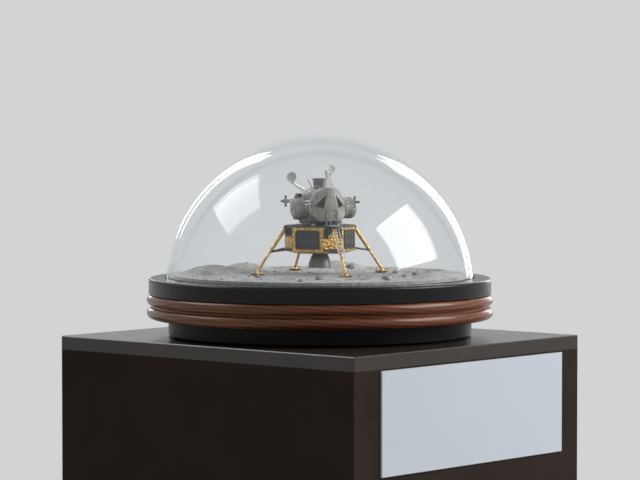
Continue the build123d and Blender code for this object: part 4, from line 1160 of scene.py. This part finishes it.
# %% Mix the film
def foil(name, dark, mid, bright, fold_size):
    """Crinkled metal film: folds by cells, and colour that shifts from fold to fold."""
    finish = Finish(name, metallic=1.0)
    cloud = finish.noise(3 * fold_size, 3.0)
    fold = finish.cells(fold_size, "F1")
    sharp = finish.cells(0.45 * fold_size, "F2")
    tone = 0.5 * cloud + 0.5 * fold
    finish.set(base_color=finish.ramp(tone, (0.2, dark), (0.5, mid), (0.8, bright)),
               roughness=0.24 + 0.22 * finish.noise(fold_size, 3.0))
    return finish.bump(0.65 * fold + 0.35 * sharp, 0.5 * fold_size, 0.7)


# %% [markdown]
# The upper stage is painted in grey and olive panels, with black panels on both stages. The panels
# are Voronoi cells without randomness, which is a square grid, turned with the lander. Some panels
# are tinged, thin dark seams part them, and grime gathers in patches.


# %% Mix the paints
PANEL_SIZE = 10.5 * MM


def shaded(color, share):
    """A colour at a share of its strength."""
    return tuple(share * value for value in color)


def paint(name, color, tinge, rough):
    """Satin model paint in square panels, some of them tinged, with thin dark seams."""
    finish = Finish(name)
    square = finish.spread((1, 1, 1.25), -LANDER_TURN, (3.1 * MM, 2.3 * MM, 1.7 * MM))
    panels = finish.cells(PANEL_SIZE, "F1", "Color", 0.0, square)
    seam = 1 - finish.cells(PANEL_SIZE, "DISTANCE_TO_EDGE", "Distance", 0.0, square).between(0.008, 0.03)
    grime = finish.noise(6 * MM, 5.0, 0.65)
    pale = tuple(1.12 * value + 0.01 for value in color)
    base = finish.mix(finish.channel(panels, "Red"), shaded(color, 0.9), pale)
    base = finish.mix(0.32 * (finish.channel(panels, "Green") > 0.72), base, tinge)
    base = finish.mix(0.35 * grime.between(0.5, 0.8), base, shaded(color, 0.55))
    finish.set(base_color=finish.mix(0.6 * seam, base, shaded(color, 0.25)), roughness=rough + 0.15 * grime)
    return finish.bump(1 - seam, 0.12 * MM, 0.6)


def plain(name, color, rough, metallic=0.0):
    """Plain paint or metal with a slight mottle."""
    finish = Finish(name, metallic=metallic)
    mottle = finish.noise(2.5 * MM, 4.0, 0.6)
    finish.set(base_color=finish.mix(mottle, shaded(color, 0.78), color), roughness=rough + 0.15 * mottle)
    return finish.bump(finish.noise(0.5 * MM, 2.0), 0.03 * MM, 0.3)


# %% [markdown]
# Each finish is made once and given to every piece that shares it, as a modeller mixes a paint and
# then goes round with it.

# %% Dress the lander
gold_foil = foil("gold foil", (0.28, 0.15, 0.035), (0.56, 0.33, 0.095), (0.86, 0.63, 0.30), 3.2 * MM)
silver_paint = paint("silver grey panels", (0.40, 0.40, 0.36), (0.29, 0.285, 0.20), 0.38)
olive_paint = paint("olive panels", (0.27, 0.265, 0.19), (0.22, 0.22, 0.15), 0.42)
black_paint = paint("black panels", (0.045, 0.044, 0.046), (0.028, 0.027, 0.03), 0.45)
white_paint = plain("white paint", (0.74, 0.74, 0.72), 0.4)
bare_metal = plain("bare metal", (0.62, 0.61, 0.59), 0.3, 1.0)
dark_metal = plain("dark metal", (0.21, 0.20, 0.19), 0.4, 0.7)
black_glass = plain("black window", (0.012, 0.012, 0.014), 0.08)

for leg in ("front", "right", "rear", "left"):
    dress(gold_foil, leg + "_footpad", leg + "_strut")
    dress(black_paint, leg + "_braces")
dress(gold_foil, film, windings, "descent_body", "heat_shield")
dress(black_paint, blankets, doors, window_frames, "docking_target",
      *[softened[node] for node in ("descent_deck", "stage_base", "aft_bay")])
dress(silver_paint, bottles, "porch",
      *[softened[node] for node in ("cabin", "midsection", "right_tank", "left_tank")])
dress(olive_paint, hatch, "docking_hatch")
dress(dark_metal, bands, nozzles, "engine_bell", "ascent_bell", "docking_tunnel")
dress(bare_metal, "ladder", "stage_seats", "dish_mast")
dress(white_paint, fittings, "radar_fork", "radar_dish", "steerable_dish", "aerials",
      *[corner + "_thrusters" for corner in ("front_right", "front_left", "rear_right", "rear_left")])
dress(black_glass, "cabin_windows")

# %% [markdown]
# ## Finish

# %% Finish
clear_selection()
